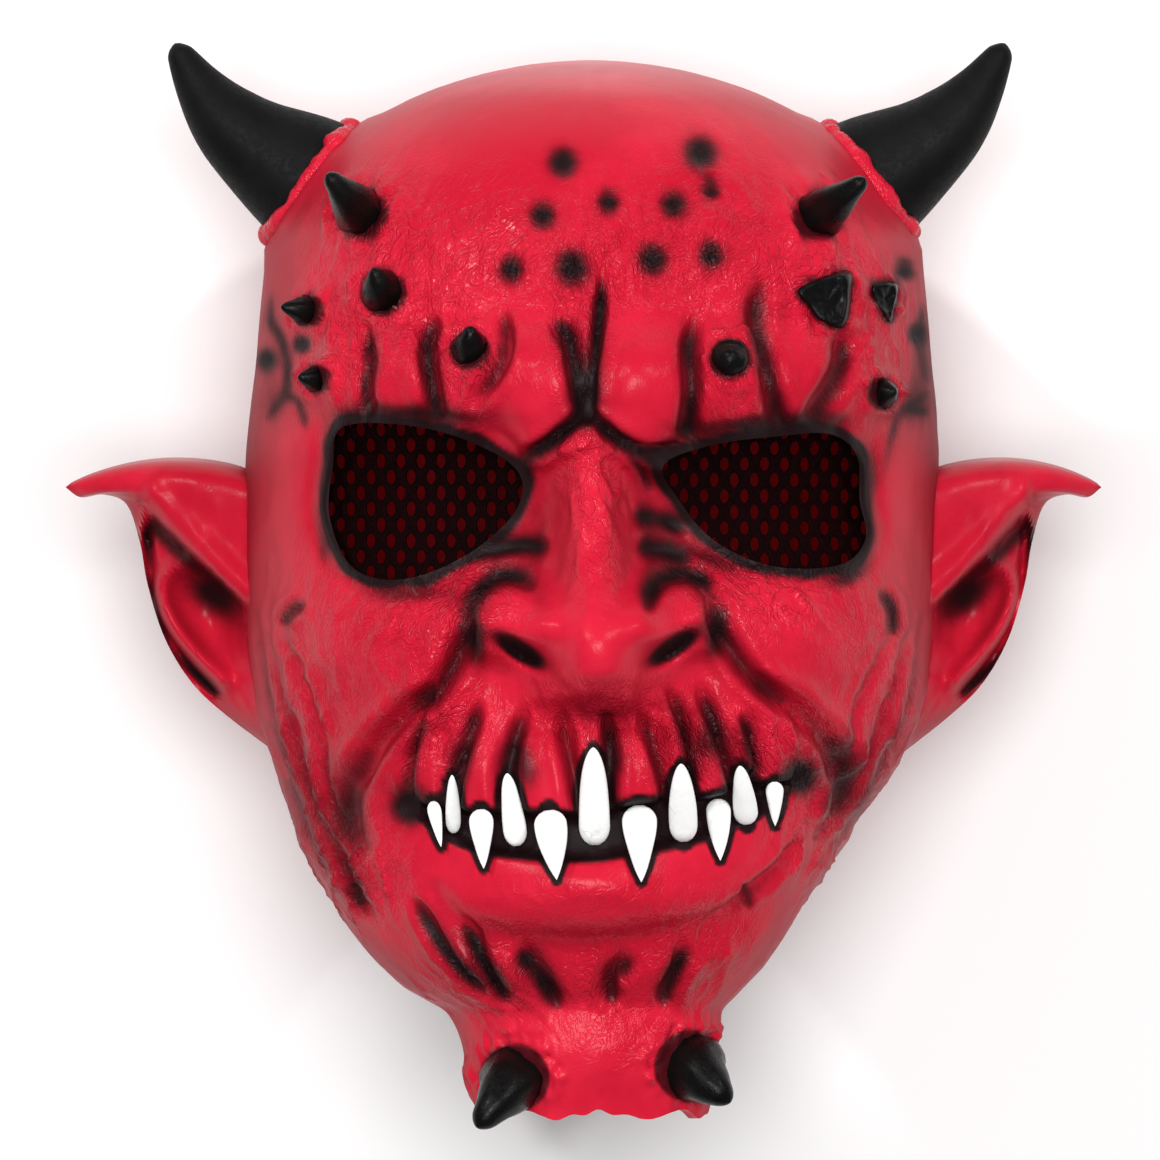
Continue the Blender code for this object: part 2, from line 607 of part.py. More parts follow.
def head_side(y, z):
    """How far out the side of the smooth head stands at a height and a depth."""
    z_share = np.clip((z - curve_through(LEVEL, MIDDLE_Z, y)) / rounded_curve(FRONT, y), 0, 1)
    return rounded_curve(HALF_WIDTH, y) * (1 - z_share**SQUARENESS) ** (1 / SQUARENESS)


def ear_front(out, up, share_out):
    """Front of an ear by its outward share and height: a fold above, a hollow below."""
    past_fold = up - EAR_FOLD_UP - EAR_FOLD_SLOPE * (out - EAR_FOLD_OUT)
    past_fold = past_fold / math.hypot(1, EAR_FOLD_SLOPE)
    fold = smooth_step(-EAR_FOLD_SOFTNESS, EAR_FOLD_SOFTNESS, past_fold)
    hollow = swelling(out, up, *EAR_HOLLOW) - EAR_HOLLOW_DROP
    plane = EAR_FRONT_Z - EAR_LEAN_BACK * share_out**0.8
    return plane + fold * EAR_FOLD_RISE * np.sin(np.pi * share_out) + (1 - fold) * hollow


def ear(name, side, reach):
    """A pointed ear: rows from the lobe to the top, each from the head's side out to the rim."""
    rim, _ = smooth_line(EAR_RIM, [0] * len(EAR_RIM), EAR_ROWS)
    share_up = np.linspace(0, 1, EAR_ROWS)
    root_y = EAR_RIM[0][1] + (EAR_ROOT_TOP_Y - EAR_RIM[0][1]) * share_up
    root_x = head_side(root_y, EAR_ROOT_Z) - EAR_SINK
    share_out = np.linspace(0, 1, EAR_STEPS)
    out = root_x[:, None] + (rim[:, 0] - root_x)[:, None] * share_out
    up = root_y[:, None] + (rim[:, 1] - root_y)[:, None] * share_out
    up = up + EAR_TOP_BOW * (share_up**3)[:, None] * np.sin(np.pi * share_out)
    so, su = np.broadcast_to(share_out, out.shape), np.broadcast_to(share_up[:, None], out.shape)
    full = np.sqrt(np.clip(1 - so**6, 0, 1)) * np.sqrt(np.clip(1 - (2 * su - 1) ** 8, 0, 1))
    front = ear_front(out, up, so)
    back = EAR_BACK_Z + 0.07 * EAR_BACK_Z * so
    rim_z = EAR_EDGE_Z - 0.02 * EAR_EDGE_Z * so
    front = rim_z + (front - rim_z) * full
    back = rim_z + (back - rim_z) * full
    out = np.where(so > 0.3, root_x[:, None] + (out - root_x[:, None]) * (1 + (reach - 1) * so), out)
    front_points = np.stack([out * side, up, front], axis=-1).reshape(-1, 3)
    back_points = np.stack([out * side, up, back], axis=-1).reshape(-1, 3)
    count = EAR_ROWS * EAR_STEPS
    edge = {}
    for r in range(EAR_ROWS):
        for k in range(EAR_STEPS):
            pinched = r in (0, EAR_ROWS - 1) or k == EAR_STEPS - 1
            edge[r, k] = r * EAR_STEPS + k if pinched else count + r * EAR_STEPS + k
    faces = []
    for r in range(EAR_ROWS - 1):
        for k in range(EAR_STEPS - 1):
            a, b = r * EAR_STEPS + k, (r + 1) * EAR_STEPS + k
            faces.append((a, a + 1, b + 1, b))
            faces.append((edge[r, k], edge[r + 1, k], edge[r + 1, k + 1], edge[r, k + 1]))
        faces.append(tuple(dict.fromkeys((r * EAR_STEPS, (r + 1) * EAR_STEPS, edge[r + 1, 0], edge[r, 0]))))
    points = np.vstack([front_points, back_points])
    used = sorted({v for face in faces for v in face})
    number = {v: n for n, v in enumerate(used)}
    faces = [tuple(number[v] for v in face) for face in faces]
    return make_object(name, stretched(points[used]), faces, LATEX_RED)


def filled_head(grow):
    """The whole head as one block, grown by a gap, to cut what is glued on it."""
    outside, normal = outer_grid(COLUMNS, DOME_ROWS, FACE_ROWS)
    outside = outside + normal * grow
    crown = np.array([0.0, CROWN_Y, MIDDLE_Z[0]]) * STRETCH + (0, grow, 0)
    points = np.vstack([crown[None], outside.reshape(-1, 3)])
    rings = [1 + r * COLUMNS + np.arange(COLUMNS) for r in range(len(outside))]
    faces = list(fan_faces(0, rings[0]))
    for r in range(len(rings) - 1):
        faces += ring_faces(rings[r], rings[r + 1])
    faces.append(tuple(rings[-1][::-1]))
    return make_object("head_block", in_metres(points), faces, LATEX_RED)


def horn(name, side):
    """A big curved horn, cut to sit on the skin with a thin glue line."""
    line, radius = smooth_line(HORN_LINE, HORN_RADIUS, HORN_RINGS)
    points, faces = tube(line * (side, 1, 1), radius, HORN_SIDES, flat=0.92)
    obj = make_object(name, stretched(points), faces, HORN_BLACK, 0.45)
    return with_boolean(obj, filled_head(GLUE_GAP), "DIFFERENCE")


def eye_net(name, first, last, top, foot):
    """A patch of net glued inside an eye opening: the lining's own grid, set in by the glue gap."""
    inside, normal = inner_grid()
    patch = inside[top : foot + 1, first : last + 1]
    direction = normal[top : foot + 1, first : last + 1]
    front = patch - direction * NET_GAP
    back = front - direction * NET_THICKNESS
    rows, columns = patch.shape[:2]
    points = np.vstack([front.reshape(-1, 3), back.reshape(-1, 3)])
    count = rows * columns
    faces = []
    for r in range(rows - 1):
        for k in range(columns - 1):
            a = r * columns + k
            for face in ((a, a + columns, a + 1), (a + columns, a + columns + 1, a + 1)):
                faces.append(face)
                faces.append(tuple(count + v for v in face[::-1]))
    loop = [k for k in range(columns)] + [r * columns + columns - 1 for r in range(1, rows)]
    loop += [(rows - 1) * columns + k for k in range(columns - 2, -1, -1)]
    loop += [r * columns for r in range(rows - 2, 0, -1)]
    faces += ring_faces(loop, [count + v for v in loop])
    return make_object(name, in_metres(points), faces, NET_BLACK, 0.8)


def net_span(outline):
    """Columns and rows of the lining's grid that cover an eye opening with a margin."""
    inside, _ = inner_grid()
    real = np.array(outline) * STRETCH[:2]
    low, high = real.min(axis=0) - NET_OVERLAP, real.max(axis=0) + NET_OVERLAP
    level = np.abs(inside[:, LINING_COLUMNS // 2, 1] - 0.5 * (low[1] + high[1])).argmin()
    front = np.flatnonzero(np.cos(turns(LINING_COLUMNS)) > 0)
    x = inside[level, front, 0]
    y = inside[:, LINING_COLUMNS // 2, 1]
    first = int(front[x <= low[0]].max())
    last = int(front[x >= high[0]].min())
    top = int(np.where(y >= high[1])[0].max())
    foot = int(np.where(y <= low[1])[0].min())
    return first, last, top, foot


def build():
    clear_scene()
    head = head_shell()
    tree = BVHTree.FromObject(head, bpy.context.evaluated_depsgraph_get())
    for number, row in enumerate(TEETH):
        with_boolean(head, tooth(tree, f"tooth_{number}", *row), "UNION")
    for label, row in SPIKES.items():
        with_boolean(head, spike(tree, label, *row), "UNION")
    for label, row in STUMPS.items():
        with_boolean(head, stump(tree, label, *row), "UNION")
    with_boolean(head, ear("ear_left", -1, 1.0), "UNION")
    with_boolean(head, ear("ear_right", 1, RIGHT_EAR_REACH), "UNION")
    for label, outline in (("left", EYE_LEFT), ("right", EYE_RIGHT)):
        with_boolean(head, eye_cutter(f"eye_cut_{label}", outline), "DIFFERENCE")
        eye_net(f"eye_net_{label}", *net_span(outline))
    horn("horn_left", 1)
    horn("horn_right", -1)


build()
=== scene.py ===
"""Looks of the overhead devil mask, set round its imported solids.

The mask lies face up: +X is to the right of someone looking at the face, +Y runs from chin to crown and
+Z out through the face. Shapes are worked out in millimetres and turned into metres in piece().
"""

import json
import math
from functools import reduce

import bmesh
import bpy
import numpy as np
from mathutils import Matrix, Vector
from mathutils.bvhtree import BVHTree

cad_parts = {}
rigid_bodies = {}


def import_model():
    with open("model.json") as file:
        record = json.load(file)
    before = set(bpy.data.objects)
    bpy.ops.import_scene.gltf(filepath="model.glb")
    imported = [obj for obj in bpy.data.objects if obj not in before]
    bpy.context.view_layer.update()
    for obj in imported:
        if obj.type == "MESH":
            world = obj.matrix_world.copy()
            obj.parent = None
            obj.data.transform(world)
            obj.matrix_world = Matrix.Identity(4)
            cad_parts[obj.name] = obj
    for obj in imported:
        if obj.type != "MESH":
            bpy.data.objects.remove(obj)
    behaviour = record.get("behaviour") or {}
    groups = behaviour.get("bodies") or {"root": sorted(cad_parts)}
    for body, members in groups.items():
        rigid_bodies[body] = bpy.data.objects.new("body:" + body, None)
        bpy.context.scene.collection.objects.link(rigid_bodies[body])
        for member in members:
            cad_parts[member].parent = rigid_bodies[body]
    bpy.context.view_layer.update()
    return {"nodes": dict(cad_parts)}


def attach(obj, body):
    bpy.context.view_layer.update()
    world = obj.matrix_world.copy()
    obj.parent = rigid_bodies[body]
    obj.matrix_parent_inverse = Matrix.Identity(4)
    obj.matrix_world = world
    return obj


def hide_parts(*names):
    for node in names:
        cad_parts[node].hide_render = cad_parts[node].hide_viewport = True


MM = 0.001
# Points of a net closer than this, in mm, are one point
WELD_GAP = 0.02

# The head, in level sections from the crown down to the hem under the chin, as in the solids
WALL, FACE_WALL_EXTRA = 2.8, 1.4
# The wall is thicker where the jaw bends in, within so much of that level
JAW_WALL_EXTRA, JAW_BEND_Y, JAW_BEND_REACH = 1.6, -110.0, 12.0
# Share of the broad forms that the lining follows
LINING_SHARE = 0.85
BACK_SOFTNESS = 5.0
CROWN_Y, HEM_Y, NAPE_Y = 137.0, -137.0, -60.0
LEVEL = [137, 126, 113, 100, 85, 60, 30, 0, -30, -46, -57, -70, -83, -95, -104, -111, -122, -137]
HALF_WIDTH = [0, 48.5, 68, 78, 85.5, 88, 90.5, 90, 87, 81, 75.5, 69, 61, 53, 44.5, 35.5, 32.5, 31]
FRONT = [0, 60, 79, 89, 95.5, 99, 100, 99, 98, 96, 91, 82, 70, 57, 46, 37, 29, 24]
BACK = [0, 64, 86, 99, 108, 115, 117, 116, 109, 104, 102, 98, 88, 77, 64, 52, 38, 28]
MIDDLE_Z = [100, 104, 104, 104, 104, 104, 104, 104, 104, 106, 111, 121, 131, 141, 147, 151, 155, 158]
SIDEWAYS = [0, 0, 0, 0, 1, 1, 0.5, 0, 0, -1, -3, -5, -5.5, -5, -4, -1.5, 0, 0.5]
SQUARENESS = 2.35

COLUMNS, DOME_ROWS, FACE_ROWS = 352, 32, 194
LINING_DOME_ROWS, LINING_FACE_ROWS = 4, 20
DOME_Y = 75.0
FRONT_CROWDING = 0.42

# Soft forms: middle x, y, half-widths x, y, turn in degrees, height
FORMS = [
    (0, 54, 66, 17, 0, 5), (-43, 21, 29, 23, 8, -13), (46, 21, 29, 22, -4, -13),
    (-47, -15, 21, 22, -20, 10), (51, -13, 21, 22, 20, 10), (-66, -2, 14, 24, -12, 3),
    (70, 0, 13, 24, 12, 3), (3, -50, 44, 22, 0, 9), (3, -79, 39, 9.5, 0, 9), (-63, -62, 9, 22, 14, -3),
    (66, -56, 9, 22, -14, -3), (-1, -104, 26, 9, 0, -4), (0, -122, 26, 10, 0, 3),
]
# Firm lobes of the brow, flatter on top and steeper at the side: the same six numbers
BROW_LOBES = [
    (-14, 48.5, 11.3, 17.5, 7, 10.5), (13.5, 48, 12.4, 17.5, 0, 11), (37, 49.5, 10.2, 14, 0, 9),
    (55.5, 51, 9.2, 14, -6, 8), (-32, 48.5, 8.6, 12, -8, 7.5), (-49.5, 51, 8.4, 14, 0, 8),
    (-64, 49, 6.3, 13, 8, 6), (69.5, 48, 5.3, 12, -8, 5), (2.4, -13.5, 12.5, 11.5, 0, 4.5),
    (-19.5, -8.8, 11.5, 10.0, 12, 18), (21.2, -8.0, 11.5, 10.0, -12, 18),
]
# Only the lining sinks under these, so that the nostrils and the mouth keep a wall
LINING_FORMS = [
    (-18, -17, 12, 10, -33, -7), (21.5, -15.5, 12, 10, 33, -7), (3, -63, 52, 13, 0, -6),
    (-42, -31, 16, 10, 25, -4), (-59, -46, 9, 16, 0, -4), (48, -31, 16, 10, -25, -4),
    (63, -46, 9, 16, 0, -4), (-1, -103, 36, 13, 0, -4), (3, -29, 14, 7, 0, -3), (-27, -3, 9, 9, 0, -3),
    (27, -1, 9, 9, 0, -3), (-1, 45, 9, 20, 0, -2), (-46, -57, 11, 8, 0, -3), (53, -50, 11, 8, 0, -3),
    (-11, 22, 7, 12, 0, -4), (12.5, 24, 7, 12, 0, -4), (-48, -54, 7, 7, 0, -2),
]

NOSE_LEVEL = [46, 38, 24, 8, -6, -15, -22, -28, -32.5, -37]
NOSE_HEIGHT = [1, 8.5, 14, 20, 25, 28, 27, 19, 6, 0]
NOSE_HALF_WIDTH = [4, 5.5, 7.8, 10, 13, 15.5, 16, 15.5, 15, 15]
NOSE_LEAN = [-1, -1, 0, 1, 1.5, 2, 2, 2, 2, 2]
NOSTRILS = [(-18.0, -16.9, -32), (21.4, -16.0, 34)]
NOSTRIL_HALF_LENGTH, NOSTRIL_HALF_WIDTH, NOSTRIL_DEPTH = 7.6, 2.5, 8.0
# Powers of the swellings: the higher, the flatter on top and the steeper at the side
LOBE_POWER, NOSTRIL_POWER, NOSE_POWER = 1.7, 1.5, 2.5

# Furrows and painted strokes: half-width, depth, strength of the black, then the points they pass
BROW_STROKES = [
    (1.5, 2.4, 0.9, [(-57.5, 67.3), (-56.6, 58.0), (-57.6, 50.2), (-56.5, 43.5)]),
    (2.0, 2.8, 0.95, [(-39.6, 70.4), (-41.9, 60.8), (-40.6, 50.6), (-38.5, 43.0)]),
    (1.8, 2.6, 0.7, [(-22.4, 71.7), (-21.8, 62.1), (-24.2, 54.8), (-30.2, 46.3)]),
    (2.3, 3.2, 1.0, [(-9.6, 69.6), (-5.2, 62.1), (-2.8, 51.7), (-1.0, 40.3)]),
    (1.5, 2.8, 1.0, [(3.3, 80.3), (2.3, 68.1), (0.8, 54.8), (0.0, 40.3)]),
    (2.1, 2.8, 0.9, [(27.4, 70.4), (25.6, 60.8), (26.3, 50.7), (25.0, 40.8), (23.5, 37.5)]),
    (2.2, 3.0, 0.85, [(45.0, 80.0), (42.6, 70.2), (44.5, 59.8), (47.6, 46.8), (48.0, 41.0)]),
    (2.2, 2.8, 0.85, [(64.4, 66.4), (65.0, 58.5), (62.4, 51.7), (58.6, 45.8), (57.5, 41.5)]),
    (1.6, 2.8, 1, [(-0.5, 45.5), (-5.2, 40.8), (-10.4, 36.6), (-18.0, 32.6)]),
    (1.6, 2.8, 1, [(-0.5, 45.5), (4.6, 39.4), (11.0, 35.2), (18.5, 34.2), (26.0, 36.6)]),
    (0.9, 0.9, 0.5, [(9.8, 33.4), (13.4, 29.2), (16.0, 23.8)]),
]
NOSE_STROKES = [
    (2.1, 1.0, 1.0, [(-29.5, 8.3), (-22.0, 9.6), (-15.0, 10.2), (-10.2, 9.8)]),
    (2.1, 0.8, 1.0, [(10.8, 17.8), (17.2, 17.0), (25.5, 14.2)]),
    (2.3, 0.9, 1.0, [(11.8, 10.2), (18.5, 9.0), (26.5, 5.8)]),
    (2.0, 2.2, 1.0, [(-31.2, -9.0), (-30.3, -3.9), (-25.2, 1.4), (-18.8, 2.2), (-14.2, -1.2)]),
    (2.0, 2.2, 1.0, [(15.3, -7.0), (16.4, -0.4), (21.8, 2.6), (28.6, 1.2), (32.0, -4.5)]),
]
CHEEK_STROKES = [
    # The first four strokes are the folds from the nose wings to the mouth; their dark is partly black paint
    # and partly painted shade below the fold
    (2.4, 4.4, 0.7, [(-31.5, -5.0), (-32.2, -14.0), (-38.5, -26.0), (-46.0, -32.5)]),
    (2.4, 5.0, 0.4, [(-38.5, -26.0), (-48.0, -34.0), (-55.5, -42.0), (-59.5, -52.0)]),
    (2.3, 4.4, 0.7, [(31.0, -2.5), (33.6, -12.0), (41.5, -23.5), (50.0, -31.0)]),
    (2.4, 5.0, 0.42, [(41.5, -23.5), (53.5, -32.5), (61.0, -41.0), (63.5, -52.0)]),
    (2.8, 2.2, 0.5, [(-56.5, -41.5), (-61.4, -52.3), (-62.0, -61.5), (-58.4, -70.4)]),
    (2.2, 2.0, 0.5, [(61.0, -38.9), (65.2, -47.5), (63.9, -60.7)]),
    (1.4, 1.8, 0.8, [(-79.6, -11.2), (-77.5, -7.0), (-73.6, -4.4)]),
    (1.5, 1.6, 0.85, [(75.0, -0.8), (78.4, -7.0), (78.2, -13.8)]),
    (1.2, 1.7, 0.35, [
        (-87.3, -6.3), (-85.2, -20.3), (-81.9, -35.5),
        (-75.4, -57.2), (-71.0, -68.0), (-66.7, -76.7),
    ]),
    (1.3, 1.9, 0.35, [
        (-84.1, -11.7), (-79.8, -29.0), (-76.5, -37.7),
        (-71.0, -57.2), (-65.7, -68.0), (-60.2, -81.0),
    ]),
    (1.1, 1.6, 0.3, [
        (-79.8, -13.9), (-75.4, -21.5), (-71.0, -33.4),
        (-68.9, -42.0), (-66.7, -57.2), (-62.4, -65.9),
    ]),
    (1.6, 2.0, 0.5, [(-64.5, -68.6), (-60.2, -79.5), (-56.8, -86.5)]),
    (1.1, 1.6, 0.3, [
        (78.9, -11.7), (72.4, -23.6), (68.0, -34.4),
        (66.4, -44.2), (61.5, -57.2), (57.2, -67.0),
    ]),
    (1.3, 1.9, 0.35, [(83.2, -10.6), (77.8, -29.0), (70.2, -46.4), (63.7, -57.2), (58.3, -68.0)]),
    (1.2, 1.8, 0.35, [(86.5, -6.3), (83.2, -29.0), (75.6, -46.4), (69.1, -59.4), (61.5, -70.2)]),
    (1.4, 2.0, 0.4, [(54.0, -65.9), (48.0, -73.6), (42.0, -78.9), (33.8, -85.4)]),
]
LIP_STROKES = [
    (1.5, 2.6, 0.66, [(-42.4, -33.7), (-45.2, -42.4), (-46.9, -54.8)]),
    (1.8, 3.2, 0.78, [(-28.3, -29.5), (-31.0, -39.0), (-34.0, -50.6), (-35.0, -58.0)]),
    (1.9, 3.2, 0.74, [(-16.6, -31.6), (-19.6, -40.8), (-21.6, -50.1), (-20.0, -60.0)]),
    (1.7, 2.8, 0.58, [(-8.0, -32.6), (-6.0, -41.6), (-4.0, -50.1), (-3.5, -58.0)]),
    (1.7, 2.8, 0.7, [(3.6, -31.8), (5.2, -41.6), (5.4, -52.4), (5.5, -58.0)]),
    (1.6, 2.8, 0.66, [(13.0, -32.6), (16.2, -42.4), (18.8, -51.7), (19.5, -58.0)]),
    (1.6, 3.0, 0.74, [(20.6, -26.3), (23.6, -36.1), (26.2, -46.4), (26.5, -56.0)]),
    (1.8, 3.2, 0.74, [(28.0, -25.3), (32.0, -36.4), (35.6, -47.5), (37.0, -56.0)]),
    (1.8, 3.0, 0.78, [(39.0, -32.7), (41.3, -41.9), (43.0, -51.6)]),
]
CHIN_STROKES = [
    (1.5, 2.2, 1.0, [(-45.8, -80.3), (-36.7, -94.9), (-26.5, -105.8)]),
    (1.7, 2.2, 1.0, [(-33.0, -86.6), (-26.5, -98.5), (-20.3, -108.7)]),
    (2.5, 2.4, 1.0, [(-19.2, -93.9), (-13.0, -100.4), (-7.5, -110.5)]),
    (2.4, 2.2, 0.8, [(11.7, -96.2), (5.5, -101.4), (6.2, -109.5)]),
    (2.0, 2.2, 0.9, [(25.5, -92.3), (20.8, -101.4), (18.2, -109.5)]),
    (1.2, 1.4, 0.8, [(-61.4, -76.7), (-60.3, -80.1), (-59.0, -83.5)]),
    (1.0, 1.2, 0.6, [(39.5, -76.7), (40.6, -80.3), (41.6, -84.0)]),
    # The wide, faint stroke on the next line is a shallow furrow under the lower lip with a painted shadow
    (3.8, 2.0, 0.1, [(-41.6, -76.7), (-31.2, -89.7), (2.6, -93.6), (33.8, -87.1), (46.8, -74.1)]),
]
VEINS = [
    (1.3, 0, 0.8, [(-84.8, 42.1), (-79.3, 49.4), (-78.5, 57.5), (-80.3, 64.2), (-82.9, 68.9), (-82.7, 77.5)]),
    (1.1, 0, 0.7, [(-79.3, 49.4), (-75.4, 47.1), (-73.3, 39.3)]),
    (1.3, 0, 0.6, [(88.4, 51.2), (85.3, 48.1), (81.6, 45.8), (78.8, 40.8), (75.4, 25.2)]),
    (1.1, 0, 0.6, [(81.6, 45.8), (88.4, 45.0)]),
    (1.0, 0, 0.55, [(86.8, 74.1), (85.8, 63.7), (87.9, 51.2)]),
]
# Loose sprays of black, and painted shade and shadows: middle x, y, half-widths x, y, turn, strength
SPRAYS_AND_SHADOWS = [
    (-1, 48, 2.6, 6, 0, 0.7), (-10, 37.4, 9, 1.8, 38, 0.6), (8, 37.6, 8, 1.8, -36, 0.6),
    (-18, 30.5, 4, 3, -30, 0.7), (19, 33, 5, 3, 10, 0.8), (-44, 44, 22, 2.6, -3, 0.75),
    (46, 41.5, 22, 2.6, 4, 0.8), (67, 2.5, 6, 3.2, 30, 0.75), (-46, -2.5, 13, 2.6, 2, 0.5),
    (31, 6.5, 9, 2.2, -24, 0.5), (72, 27, 2.6, 9, -6, 0.6), (-69, 10, 2.2, 8, 0, 0.4),
    # On the next line the last spray is a painted shadow under the nose tip
    (-29.5, -14, 3, 7, 10, 0.8), (32.5, -12, 3, 7, -10, 0.8), (2, -28.5, 12, 2.0, 0, 0.25),
    (-19, -44, 4, 5, 0, 0.6), (-34, -45, 4, 6, 0, 0.5), (6, -44, 4, 6, 0, 0.5), (30, -40, 4, 6, -10, 0.5),
    (-17, -49, 5, 5, 0, 0.5), (-62, -58, 4, 9, 6, 0.5), (66, -50, 3, 9, -6, 0.4),
    # On the next line the first spray is a painted shadow under the lower lip
    (0, -89, 26, 2.4, 0, 0.22), (-82, 48, 3, 10, 10, 0.3), (84, 50, 3, 10, -6, 0.35),
    # On the next line the first two darken the sides of the head, partly spray and partly painted shade where
    # they turn from the light, and the third is a painted shadow under the nose tip
    (-91, 44, 8, 50, 0, 0.4), (91, 50, 8, 50, 0, 0.45), (2, -32.5, 12, 3, 0, 0.4), (-13, -3, 3, 9, 0, 0.3),
    (15.5, -3, 3, 8, 0, 0.35), (-12, 18, 4, 12, -12, 0.3), (13, 22, 4, 11, 12, 0.35),
    # On the next line the first two darken the sides of the jaw, partly spray and partly painted shade where
    # they turn from the light
    (-76, -60, 12, 34, 20, 0.3), (76, -56, 11, 34, -20, 0.25), (-48, -104, 14, 18, 45, 0.25),
    (48, -98, 14, 18, -45, 0.2),
]
STROKES = BROW_STROKES + NOSE_STROKES + CHEEK_STROKES + LIP_STROKES + CHIN_STROKES + VEINS
STROKE_STEPS = 24
# The valley of a furrow against its stated depth, and its shoulders: their rise, distance and half-width
FURROW_GAIN, SHOULDER_RISE, SHOULDER_AT, SHOULDER_WIDTH = 1.15, 0.34, 2.1, 1.1

# Painted dimples: middle x, y and radius
DIMPLES = [
    (-7, 109.2, 4.0), (-12.2, 95.4, 3.5), (4.7, 98.8, 3.0), (21.6, 98.3, 3.5), (28.6, 111.8, 4.5),
    (31.2, 102.2, 2.5), (-20.3, 81.4, 3.5), (-4.7, 81.9, 4.5), (16.1, 84, 4.0), (31.2, 85, 3.5),
    (-84, 58.5, 2.6), (-74.6, 62.4, 2.4), (81.6, 81.8, 2.8), (85.0, 65.2, 2.4),
]
DIMPLE_DEPTH, DIMPLE_SHARE = 1.4, 0.7
# No furrow goes deeper than this, however many meet
DEEPEST = 4.2

# The black band of the mouth: x, y and half-width of each place along it
MOUTH_BAND = [
    (-42.6, -58.8, 2.4), (-36.0, -61.4, 4.2), (-26.0, -63.7, 5.5), (-10.4, -64.5, 6.2), (1.8, -65.0, 5.7),
    (12.0, -62.1, 6.8), (23.4, -61.1, 6.0), (31.5, -59.0, 5.5), (41.6, -55.6, 4.4), (50.0, -51.6, 2.2),
]
MOUTH_DEPTH = 5.2
MOUTH_CORNERS = [(-46.6, -57.0, 3.6, 2.6), (54.0, -49.6, 3.4, 2.4)]
# Rounded fingers of the upper lip: top x, y, foot x, y and half-width
LIP_FINGERS = [
    (-41.3, -35.1, -41.3, -55.4, 2.9), (-27.6, -34.1, -28.6, -57.5, 3.6), (-14.8, -33.0, -10.9, -58.0, 4.9),
    (0.0, -29.9, 0.3, -46.0, 3.4), (8.3, -33.0, 12.0, -54.6, 5.7), (20.3, -29.9, 22.1, -45.5, 2.6),
    (26.0, -27.3, 31.5, -53.6, 3.4), (37.7, -29.9, 39.5, -45.5, 2.3), (45.5, -29.9, 48.1, -50.4, 4.2),
]
FINGER_RISE = 3.0

# Where the latex is crumpled: middle x, y, half-widths x, y, direction of the creases in degrees, strength
CRUMPLED = [
    (-56, 90, 16, 16, 40, 1.0), (-48, 68, 16, 14, 75, 1.0), (-66, 62, 10, 16, 90, 1.0),
    (-22, 86, 20, 16, 20, 1.0), (8, 86, 18, 16, 100, 0.9), (-4, 68, 9, 16, 80, 0.9),
    (30, 88, 18, 20, 60, 1.0), (36, 52, 12, 12, 95, 0.8), (-32, 55, 9, 12, 80, 1.0),
    (60, 78, 14, 14, 60, 1.0), (74, 62, 10, 20, 90, 0.9), (-44, -8, 22, 11, 64, 1.0),
    (-30, 0, 9, 8, 40, 0.9), (48, -4, 22, 11, -60, 1.0), (34, 4, 10, 6, -30, 1.0),
    (-48, -24, 18, 12, 75, 0.5), (1, 24, 8, 12, 90, 0.8), (2, 4, 7, 12, 88, 0.5), (-3, 36, 9, 6, 30, 1.0),
    (-40, -36, 12, 12, 70, 1.0), (4, -34, 22, 9, 80, 0.9), (24, -40, 14, 12, -70, 1.0),
    (50, -40, 14, 12, -60, 1.0), (-74, -36, 12, 34, 78, 0.7), (-60, -74, 14, 16, 60, 0.9),
    (76, -36, 12, 34, -76, 0.7), (60, -66, 12, 18, -60, 0.9), (2, -83, 34, 7, 0, 0.35),
    (-26, -100, 18, 12, -55, 0.8), (4, -101, 12, 10, 90, 0.7), (30, -96, 14, 14, 60, 0.7),
    (12, -117, 16, 9, 50, 0.45),
]

CREASE_DIRECTIONS = (50, 90, 125)
# Creases of the mesh: size and rise of each kind, their reach lengthwise and sideways, and their highest rise
CREASES = ((5.2, 1.5), (3.0, 0.85))
CREASE_STRETCH, CREASE_WANDER, CREASE_LIMIT = 2.8, 2.4, 2.2
# A ridge stands where the noise is within this of zero, and narrows with this power
RIDGE_HALF_WIDTH, RIDGE_SHARPNESS = 0.34, 1.4
# Strongest crumpling of the surface's finish, however many places overlap
MOST_CRUMPLED = 1.1

# Outlines of the eye openings
EYES = {"left": [
    (-64, 40.8), (-47, 41.2), (-31, 37), (-18.7, 29.4), (-19, 19.5), (-31, 8.3), (-47.5, 1.6), (-61, 4.2),
    (-67.4, 17.5), (-66.5, 31),
], "right": [
    (19, 31), (31.5, 36.1), (48.6, 38.4), (62, 39), (69, 33.5), (69.8, 22), (71.3, 12), (64.5, 5.2),
    (47, 4.9), (32, 11.5), (22.6, 22.5),
]}
LID_RISE, LID_HALF_WIDTH = 1.8, 1.6
LID_GROOVE, LID_GROOVE_AT, LID_GROOVE_WIDTH = 0.5, 4.6, 1.5
# The prism that cuts an eye opening stands between these heights
CUTTER_BOTTOM, CUTTER_TOP = 120.0, 240.0

